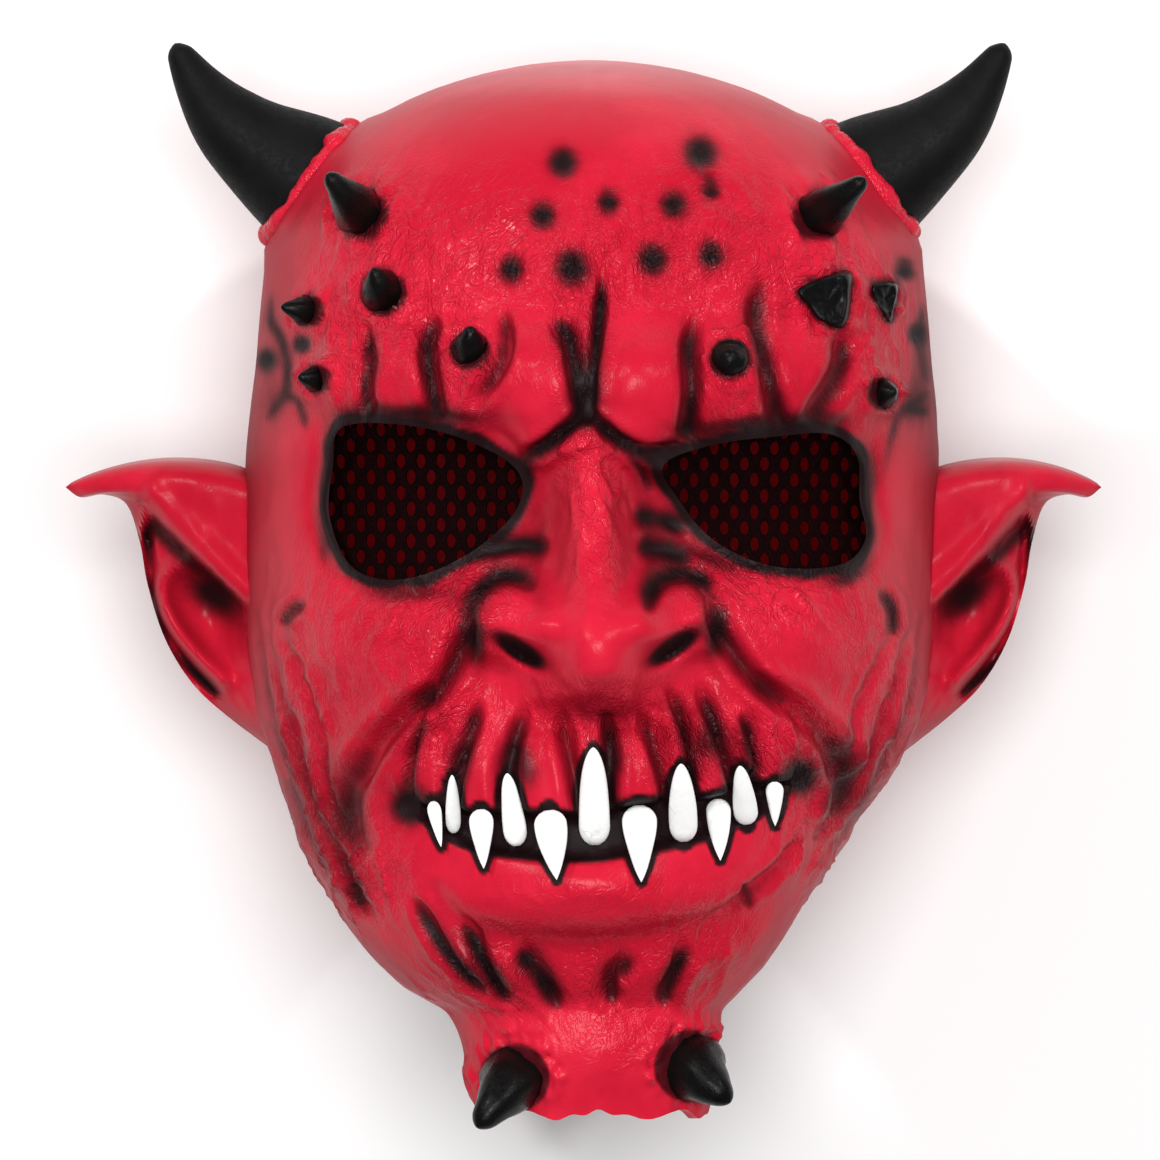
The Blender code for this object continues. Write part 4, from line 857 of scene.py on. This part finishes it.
def ink_and_shade_field(x, y, z):
    """How dark each point is painted: sprayed black in strokes, sprays, dimples, lids, mouth and teeth, with
    painted shade and shadows in some sprays, some strokes and the nostrils.
    """
    clear = np.ones_like(x)

    def darker(value, inside=slice(None)):
        """Two sprays over each other let through the product of what each lets through."""
        clear[inside] *= 1 - np.clip(value, 0, 1)

    for half_width, _, strength, points in STROKES:
        inside, away, along = near_line(x, y, spline(points, STROKE_STEPS), 8 * half_width)
        taper = fading_ends(along)
        core = bell(away / (1.15 * half_width * (0.4 + 0.6 * taper)))
        haze = bell(away / (3.2 * half_width))
        places = np.column_stack([x[inside], y[inside] * 0.6, z[inside]])
        streaky = 1.0 + 0.18 * lattice_noise(places, 3.4, 17)
        darker(strength * taper * (0.62 * core * streaky + 0.3 * haze), inside)
    for form in SPRAYS_AND_SHADOWS:
        darker(swelling(x, y, *form))
    for middle_x, middle_y, radius in DIMPLES:
        darker(np.exp(-((np.hypot(x - middle_x, y - middle_y) / (1.15 * radius)) ** 2.2)))
    lid = eye_distance(x, y)
    patchy = 1 + 0.35 * lattice_noise(np.column_stack([x, y, z]), 7.0, 23)
    darker((1 - smooth_step(0.4, 3.0, lid * patchy)) + 0.4 * (1 - smooth_step(1.5, 7.0, lid)))
    darker(smooth_step(-0.35, 0.1, mouth_field(x, y)))
    for root_x, root_y, tip_x, tip_y, half_width in TEETH:
        inside, away, along = near_line(x, y, np.array([(root_x, root_y), (tip_x, tip_y)]), 9)
        wide = half_width * tooth_outline(along, tip_y > root_y)
        darker(1.2 * (1 - smooth_step(0.6, 2.2, away - wide)), inside)
    # Painted shade: the blind nostril slots are darkened with their depth, like deep nostrils
    for pit in NOSTRILS:
        darker(-nostril(x, y, *pit) / NOSTRIL_DEPTH * 1.4)
    for middle_x, middle_y, radius, _ in MOUTH_CORNERS:
        darker(swelling(x, y, middle_x, middle_y, 1.5 * radius, 1.5 * radius, 0, 1.15))
    for row in SPIKES.values():
        away = np.hypot(x - row[0], y - row[1]) - row[5]
        darker(0.7 * (1 - smooth_step(-0.6, 0.9, away)))
    for outline, _ in BROKEN_SPIKES.values():
        inside, away = near_loop(x, y, closed_spline(outline, STUMP_STEPS), 5)
        darker(0.75 * bell(away / 1.3), inside)
    return (1 - clear) * smooth_step(90, 112, z)


def ear_ink_and_shade(x, y):
    """Painted shade in the hollow of each ear and a painted shadow under the fold, black in the groove by the
    ridge, all over an even painted shade of the whole ear.
    """
    out = np.abs(x)
    past_fold = fold_distance(out, y)
    hollow = swelling(out, y, 98, -2.5, 9, 5, 40, 0.95)
    shadow_under_fold = 0.7 * bell((past_fold + 1.6) / 2.4) * (out > 93) * (out < 116)
    inside, away, along = near_line(out, y, spline(EAR_GROOVE, EAR_LINE_STEPS), 5)
    groove = np.zeros_like(out)
    groove[inside] = 0.9 * bell(away / 1.5) * (0.35 + 0.65 * np.abs(np.cos(2.2 * np.pi * along)))
    black = np.maximum(np.maximum(hollow, shadow_under_fold), groove) * (past_fold < 0.8)
    return np.clip(EAR_PAINTED_SHADE + (1 - EAR_PAINTED_SHADE) * black, 0, 1)


def set_attribute(obj, name, values):
    """One number, or a vector of three, at each vertex."""
    values = np.asarray(values, np.float32)
    kind, key = ("FLOAT", "value") if values.ndim == 1 else ("FLOAT_VECTOR", "vector")
    attribute = obj.data.attributes.new(name, kind, "POINT")
    attribute.data.foreach_set(key, values.ravel())


def vertex_values(obj, name):
    """A vector of each vertex, such as its place or its normal."""
    values = np.empty(len(obj.data.vertices) * 3)
    obj.data.vertices.foreach_get(name, values)
    return values.reshape(-1, 3)


def swept(line, radius, sides, bumps):
    """A tube along a path: rings square to the path, from its base ring to a rounded tip."""
    tangent = np.gradient(line, axis=0)
    tangent /= np.linalg.norm(tangent, axis=1, keepdims=True)
    side = np.cross(tangent, (0.0, 0.0, 1.0) if abs(tangent[0, 2]) < 0.9 else (0.0, 1.0, 0.0))
    side /= np.linalg.norm(side, axis=1, keepdims=True)
    angle = np.linspace(0, 2 * math.pi, sides, endpoint=False)
    wide = radius[:, None] * bumps(angle[None, :], np.linspace(0, 1, len(line))[:, None])
    rings = line[:, None] + wide[..., None] * circles(side, np.cross(side, tangent), sides)
    return capped_tube(rings, line[-1] + tangent[-1] * radius[-1] * 0.3)


def with_round_tip(line, radius, count):
    """Places along a smooth path with their radii, closer towards the tip, which closes like a half ball."""
    dense = spline(np.column_stack([line, radius]), 20 * count)
    place = 1 - (1 - np.linspace(0, 1, count)) ** 1.8
    both = dense[np.round(place * (len(dense) - 1)).astype(int)]
    path, wide = both[:, :3], both[:, 3]
    left = np.linalg.norm(path - path[-1], axis=1) / (1.3 * radius[-1])
    return path, wide * np.sqrt(1 - (1 - np.clip(left, 0.01, 1)) ** 2)


def merged(parts):
    """Several (points, faces) as one."""
    points, faces, start = [], [], 0
    for these, made in parts:
        points.append(these)
        faces += [[v + start for v in f] for f in made]
        start += len(these)
    return np.vstack(points), faces


def skin_level(tree, x, y):
    """Height of the finished skin over a place, read from the skin itself."""
    hit = tree.ray_cast(Vector((x * MM, y * MM, 1.0)), Vector((0, 0, -1)))
    return hit[0].z / MM


def spike(tree, base_x, base_y, tip_x, tip_y, rise, base_radius, tip_radius):
    """A bent cone with faint flutes: it stands out of the skin, then leans over."""
    leaning = np.array([0, 0.18, 0.52, 1.0])
    path = np.column_stack([
        base_x + leaning * (tip_x - base_x),
        base_y + leaning * (tip_y - base_y),
        skin_level(tree, base_x, base_y) + np.array([-2.5, 0.3 * rise, 0.7 * rise, rise]),
    ])
    radius = base_radius * np.array([1.0, 0.84, 0.52, 0]) + tip_radius * np.array([0, 0.24, 0.58, 1.0]) ** 2
    path, wide = with_round_tip(path, radius, SPIKE_STEPS)
    seed = base_x * 7 + base_y
    facets = 0.07 if base_y < -100 else 0.05

    def bumps(angle, along):
        flutes = 0.03 * np.sin(5 * angle + seed) + 0.02 * np.sin(11 * angle + 3 * along + seed)
        flutes = flutes + facets * np.abs(np.sin(2 * angle + 0.6 * seed)) - facets
        return 1 + flutes * (1 - along) + 0.02 * np.sin(17 * along + 2 * angle + seed)

    return swept(path, wide, SPIKE_SIDES, bumps)


def broken_spike(tree, outline, rise):
    """A stump on a torn outline: a wall that leans in, then a rough break full of parallel fibres."""
    loop = closed_spline(outline, STUMP_STEPS)
    middle = loop.mean(axis=0)
    rings = []
    for grow, lift in STUMP_RINGS:
        places = middle + (loop - middle) * grow
        z = np.array([skin_level(tree, a, b) for a, b in middle + (loop - middle) * min(grow, 1)])
        z = z.mean() + 0.6 * (z - z.mean()) + (lift * rise if lift > 0 else lift)
        if grow < 0.8:
            torn = lattice_noise(np.column_stack([places, z * 0]), 1.4, 71)
            z = z - 0.9 + 0.25 * (np.sin(3.2 * places[:, 0] + 0.9 * places[:, 1]) + torn)
        rings.append(np.column_stack([places, z]))
    return capped_tube(np.stack(rings), rings[-1].mean(axis=0))


def tooth_outline(along, blunt):
    """Half-width along a tooth, at most 1: a round root, full sides, then a blunt or a sharp point."""
    root = np.sqrt(np.clip(1 - np.clip((0.2 - along) / 0.21, 0, 1) ** 2, 0, 1))
    bow, roundness = (2.6, 0.6) if blunt else (1.8, 0.9)
    point = (1 - np.clip((along - 0.2) / 0.8, 0, 1) ** bow) ** roundness
    return root * np.clip(point, 0.03, 1)


def tooth(tree, root_x, root_y, tip_x, tip_y, half_width):
    """A pointed tooth lying on the lips: oval across, widest near the root, and slightly uneven."""
    along = 1 - (1 - np.linspace(0, 1, TOOTH_STEPS)) ** 1.4
    x = root_x + along * (tip_x - root_x)
    y = root_y + along * (tip_y - root_y)
    d = np.array([tip_x - root_x, tip_y - root_y]) / math.hypot(tip_x - root_x, tip_y - root_y)
    wide = half_width * tooth_outline(along, tip_y > root_y)
    # A straight line through the highest skin under the tooth, lifted until it clears all of it
    some = slice(None, None, 3)
    beside = [0.8 * k * wide[some] for k in (-1, 0, 1)]
    places = (zip(x[some] + d[1] * o, y[some] - d[0] * o) for o in beside)
    level = np.array([[skin_level(tree, a, b) for a, b in row] for row in places]).max(axis=0)
    fitted = np.polyfit(along[some], level, 1)
    z = np.polyval(fitted, along) + max(0.0, (level - np.polyval(fitted, along[some])).max()) + 0.1
    angle = np.linspace(0, 2 * math.pi, TOOTH_SIDES, endpoint=False)
    noise = 1 + 0.05 * np.sin(7 * along + root_x)[:, None] * np.cos(2 * angle + root_x)[None, :]
    across = wide[:, None] * np.cos(angle)[None, :] * noise
    high = 0.5 * np.minimum(wide, 3.0)[:, None] * np.sin(angle)[None, :] * noise
    rings = np.stack([x[:, None] + d[1] * across, y[:, None] - d[0] * across, z[:, None] + high], axis=-1)
    return capped_tube(rings, (x[-1], y[-1], z[-1]), (x[0], y[0], z[0]))


def horn_points(side):
    """A big horn: a swept taper with a slow flattening and shallow rings near its base."""
    path, wide = with_round_tip(HORN_LINE, HORN_RADIUS, HORN_STEPS)

    def bumps(angle, along):
        return 1 + 0.012 * np.sin(3 * angle + 2) + 0.008 * np.sin(26 * along + angle) * (1 - along)

    points, faces = swept(path, wide, HORN_SIDES, bumps)
    return points * (side, 1, 1), faces


def net_level(solid_tree, outline):
    """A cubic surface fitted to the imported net's front, so that the fine net lies where the solid is."""
    low, high = np.min(outline, axis=0), np.max(outline, axis=0)
    grid = np.meshgrid(np.linspace(low[0], high[0], 14), np.linspace(low[1], high[1], 12))
    gx, gy = (g.ravel() for g in grid)
    found = []
    for x, y in zip(gx, gy):
        hit = solid_tree.ray_cast(Vector((x * MM, y * MM, 1.0)), Vector((0, 0, -1)))
        if hit[0] is not None:
            found.append((x, y, hit[0].z / MM))
    found = np.array(found)
    middle = found[:, :2].mean(axis=0)

    def terms(x, y):
        u, v = (x - middle[0]) / 30, (y - middle[1]) / 30
        powers = [np.ones_like(u), u, v, u * u, u * v, v * v, u**3, u * u * v, u * v * v, v**3]
        return np.stack(powers, axis=-1)

    weights = np.linalg.lstsq(terms(found[:, 0], found[:, 1]), found[:, 2], rcond=None)[0]
    return lambda x, y: terms(x, y) @ weights


def outline_distance(x, y, outline):
    """Distance from a closed outline, negative inside, where a ray crosses it an odd number of times."""
    loop = closed_spline(outline, EYE_STEPS)
    after = np.roll(loop, -1, axis=0)
    _, away = near_loop(x, y, loop, FAR)
    level = (loop[:, 1] > y[:, None]) != (after[:, 1] > y[:, None])
    rise = np.where(after[:, 1] == loop[:, 1], 1e-9, after[:, 1] - loop[:, 1])
    crossing = loop[:, 0] + (y[:, None] - loop[:, 1]) / rise * (after[:, 0] - loop[:, 0])
    inside = (level & (x[:, None] < crossing)).sum(axis=1) % 2 == 1
    return np.where(inside, -away, away)


def eye_net(name, outline, solid, material):
    """A knit net: staggered cells, each a block with an oval hole, on a surface and given a thickness."""
    level = net_level(BVHTree.FromObject(solid, bpy.context.evaluated_depsgraph_get()), outline)
    low, high = np.min(outline, axis=0) - NET_MARGIN, np.max(outline, axis=0) + NET_MARGIN
    columns = int((high[0] - low[0]) / NET_PITCH_X) + 1
    rows = int((high[1] - low[1]) / (NET_PITCH_Y / 2)) + 1
    # One cell is a lozenge round its hole; lozenges of neighbouring rows share corners
    turn = np.linspace(0, 2 * math.pi, HOLE_CORNERS, endpoint=False)
    hole_x, hole_y = 0.5 * NET_HOLE_WIDTH * np.cos(turn), 0.5 * NET_HOLE_HEIGHT * np.sin(turn)
    size = 1 / (np.abs(np.cos(turn)) + np.abs(np.sin(turn)))
    edge_x, edge_y = 0.5 * NET_PITCH_X * size * np.cos(turn), 0.5 * NET_PITCH_Y * size * np.sin(turn)
    narrow = np.minimum(1, 0.86 * np.hypot(edge_x, edge_y) / np.hypot(hole_x, hole_y))
    r, c = (g.ravel() for g in np.meshgrid(np.arange(rows), np.arange(columns), indexing="ij"))
    middle_x = low[0] + (c + 0.5 * (r % 2)) * NET_PITCH_X
    middle_y = low[1] + r * NET_PITCH_Y / 2
    keep = outline_distance(middle_x, middle_y, outline) < NET_MARGIN
    x = middle_x[keep][:, None, None] + np.stack([hole_x * narrow, edge_x])
    y = middle_y[keep][:, None, None] + np.stack([hole_y * narrow, edge_y])
    z = level(x, y) + NET_WAVE * np.array([[1.0], [-1.0]]) - NET_SUNK
    ring = np.arange(HOLE_CORNERS)
    holes = [2 * k * HOLE_CORNERS + ring for k in range(len(x))]
    faces = [q for hole in holes for q in ring_quads(hole, hole + HOLE_CORNERS)]
    obj = piece(name, np.stack([x, y, z], axis=-1), faces, [material], weld=True)
    solidify = obj.modifiers.new("thickness", "SOLIDIFY")
    solidify.thickness = NET_THICKNESS * MM
    solidify.offset = 0
    return obj


class Shader:
    """A material's or group's nodes, with a short way to add and link them."""

    def __init__(self, tree):
        self.tree = tree

    def plug(self, node, inputs):
        """Links the sockets among the values, and sets the others as constants."""
        for key, value in inputs.items():
            if isinstance(value, bpy.types.NodeSocket):
                self.tree.links.new(value, node.inputs[key])
            else:
                node.inputs[key].default_value = value
        return node

    def add(self, kind, inputs=None, **settings):
        node = self.tree.nodes.new(kind)
        for key, value in settings.items():
            setattr(node, key, value)
        return self.plug(node, inputs or {})

    def noise(self, where, scale, detail=3.0, roughness=0.55, distortion=0.0):
        values = {"Vector": where, "Scale": scale, "Detail": detail, "Roughness": roughness}
        return self.add("ShaderNodeTexNoise", {**values, "Distortion": distortion}).outputs["Fac"]

    def math(self, operation, a, b=0.5):
        return self.add("ShaderNodeMath", {0: a, 1: b}, operation=operation).outputs[0]

    def total(self, values):
        return reduce(lambda a, b: self.math("ADD", a, b), values)

    def ramp(self, value, low, high, to_low=0.0, to_high=1.0):
        values = {"Value": value, "From Min": low, "From Max": high, "To Min": to_low, "To Max": to_high}
        return self.add("ShaderNodeMapRange", values, interpolation_type="SMOOTHSTEP").outputs["Result"]

    def mix(self, share, a, b):
        """The colour inputs of this node are its 7th and 8th, and the colour is its 3rd output."""
        colours = {6: a if isinstance(a, bpy.types.NodeSocket) else (*a, 1), 7: (*b, 1)}
        return self.add("ShaderNodeMix", {0: share, **colours}, data_type="RGBA").outputs[2]

    def bump(self, height, strength, distance):
        values = {"Height": height, "Strength": strength, "Distance": distance}
        return self.add("ShaderNodeBump", values).outputs["Normal"]

    def group(self, group, inputs):
        return self.add("ShaderNodeGroup", inputs, node_tree=group).outputs

    def where(self):
        return self.add("ShaderNodeTexCoord").outputs["Object"]


def new_group(name, given, kind, outputs):
    """An empty shader node group with one input. Returns it, its tools, its input and its output node."""
    group = bpy.data.node_groups.new(name, "ShaderNodeTree")
    group.interface.new_socket(given, in_out="INPUT", socket_type=kind)
    for label in outputs:
        group.interface.new_socket(label, in_out="OUTPUT", socket_type="NodeSocketFloat")
    tools = Shader(group)
    return group, tools, tools.add("NodeGroupInput").outputs[given], tools.add("NodeGroupOutput")


def crinkle_group():
    """Moulded latex: fine pores, and crossing creases that grow with Amount. Heights and a gloss mask."""
    outputs = ("Height", "Pores", "Gloss")
    group, s, amount, out = new_group("latex_crinkle", "Amount", "NodeSocketFloat", outputs)
    where = s.where()
    pores = s.math("MULTIPLY", s.noise(where, 1500.0, 2.0), 0.12)
    streak = s.noise(where, 420.0, 4.0, 0.6, 1.6)
    crease = s.ramp(s.math("ABSOLUTE", s.math("SUBTRACT", s.noise(where, 260.0, 3.0, 0.55, 2.2))), 0.0, 0.07)
    crumpled = s.math("MULTIPLY", s.math("ADD", s.math("MULTIPLY", crease, 0.5), streak), amount)
    height = s.math("ADD", pores, crumpled)
    s.plug(out, {"Height": height, "Pores": pores, "Gloss": s.ramp(streak, 0.42, 0.62)})
    return group


def crease_group():
    """Fine creases: noise drawn out along three directions, each by its own strength, and their total."""
    group, s, given, out = new_group("latex_creases", "Strength", "NodeSocketVector", ("Height", "Total"))
    where = s.where()
    strengths = s.add("ShaderNodeSeparateXYZ", {"Vector": given}).outputs
    heights = []
    for strength, turn in zip(strengths, CREASE_DIRECTIONS):
        values = {"Vector": where, "Angle": -math.radians(turn)}
        rotated = s.add("ShaderNodeVectorRotate", values, rotation_type="Z_AXIS").outputs[0]
        values = {0: rotated, 1: (0.6, 1.0, 0.8)}
        drawn_out = s.add("ShaderNodeVectorMath", values, operation="MULTIPLY").outputs[0]
        coarse = s.noise(drawn_out, 215.0, 2.0, 0.55, 2.2)
        fine = s.noise(drawn_out, 520.0, 1.0, 0.6, 1.4)
        valley = s.ramp(s.math("ABSOLUTE", s.math("SUBTRACT", coarse)), 0.0, 0.11)
        folded = s.math("ADD", s.math("MULTIPLY", valley, 0.75), s.math("MULTIPLY", fine, 0.35))
        heights.append(s.math("MULTIPLY", folded, strength))
    s.plug(out, {"Height": s.total(heights), "Total": s.total(strengths)})
    return group


def airbrush_and_shade_group():
    """Breaks up the edge of the sprayed black and of the painted shade: the field plus a little speckle, put
    through a soft step.
    """
    group, s, field, out = new_group("airbrush_and_shade", "Field", "NodeSocketFloat", ("Black", "Haze_and_shade"))
    where = s.where()
    speckle = s.math("MULTIPLY", s.math("SUBTRACT", s.noise(where, 900.0, 3.0, 0.7)), 0.16)
    cloud = s.math("MULTIPLY", s.math("SUBTRACT", s.noise(where, 160.0, 3.0, 0.6)), 0.2)
    moved = s.math("ADD", field, s.math("ADD", speckle, cloud))
    s.plug(out, {"Black": s.ramp(moved, 0.26, 0.92), "Haze_and_shade": s.ramp(moved, 0.02, 0.7)})
    return group


def new_material(name):
    material = bpy.data.materials.new(name)
    material.use_nodes = True
    return material, Shader(material.node_tree), material.node_tree.nodes["Principled BSDF"]


def painted_latex(crinkle, creases, airbrush_and_shade):
    """Red latex, glossier where it is crumpled, with black sprayed in the furrows and painted shade, both
    from the black-and-shade attribute, and painted shade darkening the steep sides.
    """
    material, s, shader = new_material("painted_latex")
    where = s.where()
    ink_and_shade = s.add("ShaderNodeAttribute", attribute_name="ink_and_shade").outputs["Fac"]
    crumpled = s.add("ShaderNodeAttribute", attribute_name="crumple").outputs["Vector"]
    steep = s.add("ShaderNodeAttribute", attribute_name="steep").outputs["Fac"]
    cloud = s.ramp(s.noise(where, 26.0, 4.0, 0.6), 0.35, 0.65)
    mottle = s.ramp(s.noise(where, 240.0, 3.0, 0.6), 0.5, 0.75, 0.0, 0.35)
    black = s.group(airbrush_and_shade, {"Field": ink_and_shade})
    colour = s.mix(cloud, (0.54, 0.008, 0.028), (0.65, 0.014, 0.040))
    colour = s.mix(mottle, colour, (0.50, 0.007, 0.024))
    # Dark red where the sprayed black thins out, which also carries the painted shade and shadows of the same
    # field
    colour = s.mix(s.math("MULTIPLY", black["Haze_and_shade"], 0.72), colour, (0.10, 0.003, 0.008))
    # Painted shade on the steep sides that turn from the light, partly also the sides' darker spray
    colour = s.mix(s.math("MULTIPLY", steep, 0.38), colour, (0.13, 0.002, 0.005))
    colour = s.mix(black["Black"], colour, (0.012, 0.004, 0.005))
    grain = s.group(crinkle, {})
    folds = s.group(creases, {"Strength": crumpled})
    facing_up = s.math("SUBTRACT", 1.0, steep)
    height = s.math("ADD", grain["Pores"], s.math("MULTIPLY", folds["Height"], facing_up))
    rough = s.math("ADD", s.ramp(folds["Total"], 0.0, 1.0, 0.29, 0.16), s.math("MULTIPLY", steep, 0.3))
    rough = s.math("ADD", rough, s.math("MULTIPLY", black["Black"], 0.22))
    look = {"Base Color": colour, "Roughness": rough, "Normal": s.bump(height, 0.9, 0.00046)}
    s.plug(shader, {**look, "Specular IOR Level": 0.11})
    return material


def bare_latex(crinkle):
    """The unpainted inside, a plain matt red."""
    material, s, shader = new_material("bare_latex")
    colour = s.mix(s.noise(s.where(), 40.0, 4.0), (0.36, 0.002, 0.006), (0.48, 0.003, 0.010))
    grain = s.group(crinkle, {"Amount": 0.2})
    look = {"Base Color": colour, "Normal": s.bump(grain["Height"], 0.4, 0.0006)}
    s.plug(shader, {**look, "Roughness": 0.62, "Specular IOR Level": 0.1})
    return material


def black_rubber(name, crinkle, roughness, tint, amount):
    """Black painted rubber with a soft bloom and faint creases."""
    material, s, shader = new_material(name)
    cloud = s.ramp(s.noise(s.where(), 60.0, 4.0, 0.6), 0.35, 0.7)
    colour = s.mix(cloud, [0.75 * c for c in tint], [1.35 * c for c in tint])
    grain = s.group(crinkle, {"Amount": amount})
    rough = s.ramp(grain["Gloss"], 0, 1, roughness + 0.06, roughness - 0.05)
    look = {"Base Color": colour, "Roughness": rough, "Normal": s.bump(grain["Height"], 0.35, 0.0004)}
    s.plug(shader, {**look, "Specular IOR Level": 0.1})
    return material


def tooth_paint(crinkle):
    """White paint with thin grey cracks and a dirty edge."""
    material, s, shader = new_material("tooth_paint")
    where = s.where()
    cells = s.add("ShaderNodeTexVoronoi", {"Vector": where, "Scale": 170.0}, feature="DISTANCE_TO_EDGE")
    cracks = s.ramp(cells.outputs["Distance"], 0.0, 0.035, 1.0, 0.0)
    dirt = s.math("MULTIPLY", cracks, s.ramp(s.noise(where, 130.0, 3.0), 0.5, 0.7))
    white = s.mix(s.ramp(s.noise(where, 220.0, 3.0), 0.4, 0.75), (0.98, 0.98, 0.97), (0.93, 0.94, 0.93))
    colour = s.mix(s.math("MULTIPLY", dirt, 0.3), white, (0.12, 0.11, 0.11))
    grain = s.group(crinkle, {"Amount": 0.25})
    s.plug(shader, {"Base Color": colour, "Normal": s.bump(grain["Height"], 0.4, 0.0004), "Roughness": 0.42})
    return material


def net_knit():
    """Dark knit with a thread-like grain."""
    material, s, shader = new_material("net_knit")
    threads = s.noise(s.where(), 1800.0, 2.0)
    colour = s.mix(s.ramp(threads, 0.35, 0.7), (0.002, 0.0004, 0.0005), (0.009, 0.0006, 0.001))
    look = {"Base Color": colour, "Normal": s.bump(threads, 0.5, 0.0003)}
    s.plug(shader, {**look, "Roughness": 0.85, "Specular IOR Level": 0.04})
    return material


def dress(obj, slot, *nodes):
    """Fixes a piece to the mask and hides the solids that it stands for. The name of its finish is not used.
    """
    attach(obj, "root")
    if nodes:
        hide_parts(*nodes)


def paint(skin):
    """The attributes that the painted latex reads: black paint together with painted shade, crumple, and how
    steep each place is, which the latex also uses to darken the sides as painted shade.
    """
    x, y, z = vertex_values(skin, "co").T / MM
    beyond = np.abs(x) - head_side(y, np.maximum(z, EAR_DEPTH_LEVEL))
    on_ear = smooth_step(0.3, 1.5, beyond) * (y > -50) * (y < 36) * (z > 80) * (z < 140)
    ink_and_shade = np.where(on_ear > 0.5, ear_ink_and_shade(x, y), ink_and_shade_field(x, y, z) * (1 - on_ear))
    sideways, _, forward = vertex_values(skin, "normal").T
    set_attribute(skin, "ink_and_shade", ink_and_shade)
    set_attribute(skin, "crumple", crumple_strength(x, y) * (smooth_step(60, 110, z) * (1 - on_ear))[:, None])
    # How steep each place is: it sets the roughness and darkens the sides as painted shade
    set_attribute(skin, "steep", (1 - smooth_step(0.2, 0.65, forward)) * np.abs(sideways))


def build_mask(solids):
    """All pieces of the mask, each with its finish and the solid that it stands for."""
    crinkle = crinkle_group()
    painted = painted_latex(crinkle, crease_group(), airbrush_and_shade_group())
    horn_black = black_rubber("horn_rubber", crinkle, 0.58, (0.0045, 0.0045, 0.0048), 0.08)
    spike_black = black_rubber("spike_paint", crinkle, 0.3, (0.004, 0.0035, 0.0035), 0.35)

    skin = head_shell(painted, bare_latex(crinkle))
    tree = BVHTree.FromObject(skin, bpy.context.evaluated_depsgraph_get())
    for label, outline in EYES.items():
        joined(skin, eye_cutter(f"eye_cut_{label}", outline, painted), "DIFFERENCE")
    joined(skin, ear("ear_left", -1, 1.0, painted), "UNION")
    joined(skin, ear("ear_right", 1, RIGHT_EAR_REACH, painted), "UNION")
    skin.data.shade_smooth()
    skin.data.set_sharp_from_angle(angle=math.radians(50))
    paint(skin)
    dress(skin, "red_latex", "latex_head")

    teeth = piece("teeth", *merged([tooth(tree, *row) for row in TEETH]), [tooth_paint(crinkle)])
    dress(teeth, "red_latex")
    stumps = [broken_spike(tree, *row) for row in BROKEN_SPIKES.values()]
    cones = [spike(tree, *row) for row in SPIKES.values()]
    dress(piece("spikes", *merged(cones + stumps), [spike_black]), "red_latex")
    for label, side in (("left", 1), ("right", -1)):
        dress(piece(f"{label}_horn", *horn_points(side), [horn_black]), "black_horn", f"horn_{label}")
    rolls = piece("collars", *merged([rolled_collar(tree, side) for side in (1, -1)]), [painted])
    count = len(rolls.data.vertices)
    set_attribute(rolls, "ink_and_shade", np.zeros(count))
    set_attribute(rolls, "steep", np.zeros(count))
    set_attribute(rolls, "crumple", np.full((count, 3), 0.3))
    dress(rolls, "red_latex")
    knit = net_knit()
    for label, outline in EYES.items():
        net = eye_net(f"{label}_eye_net", outline, solids[f"eye_net_{label}"], knit)
        dress(net, "eye_net", f"eye_net_{label}")


def area_light(name, place, aim, size, power):
    """A round soft lamp turned to the place that it aims at."""
    light = bpy.data.lights.new(name, "AREA")
    light.shape = "DISK"
    light.size = size
    light.energy = power
    obj = bpy.data.objects.new(name, light)
    obj.location = place
    obj.rotation_euler = (Vector(aim) - Vector(place)).to_track_quat("-Z", "Y").to_euler()
    bpy.context.scene.collection.objects.link(obj)


def studio():
    """A pale floor, soft light from above and the camera looking straight down on the face."""
    bpy.ops.mesh.primitive_plane_add(size=6.0, location=(0, 0, 0))
    floor = bpy.context.object
    floor.name = "floor"
    material, s, shader = new_material("pale_floor")
    s.plug(shader, {"Base Color": (0.94, 0.94, 0.94, 1), "Roughness": 0.9, "Specular IOR Level": 0.1})
    floor.data.materials.append(material)
    world = bpy.data.worlds.new("studio")
    world.use_nodes = True
    world.node_tree.nodes["Background"].inputs["Color"].default_value = (1, 1, 1, 1)
    world.node_tree.nodes["Background"].inputs["Strength"].default_value = 0.2
    bpy.context.scene.world = world
    face = (0, 0, 0.15)
    area_light("softbox_left", (-1.8, 2.1, 2.9), face, 0.3, 46)
    area_light("softbox_right", (1.9, 1.9, 2.9), face, 0.3, 34)
    area_light("overhead", (0.0, 0.15, 3.6), face, 1.3, 94)
    camera = bpy.data.cameras.new("camera")
    obj = bpy.data.objects.new("camera", camera)
    # Far off with a long lens, and wide enough for the photo's whole frame at the level of the face
    distance, frame_width, face_level = 8.0, 0.3016, 0.135
    camera.sensor_width = 36.0
    camera.lens = camera.sensor_width * distance / frame_width
    camera.clip_end = 40.0
    obj.location = (-0.0026, 0.0013, face_level + distance)
    bpy.context.scene.collection.objects.link(obj)
    bpy.context.scene.camera = obj
    bpy.context.scene.view_settings.view_transform = "Standard"


def main():
    for obj in list(bpy.data.objects):
        bpy.data.objects.remove(obj, do_unlink=True)
    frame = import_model()
    build_mask(frame["nodes"])
    studio()


main()
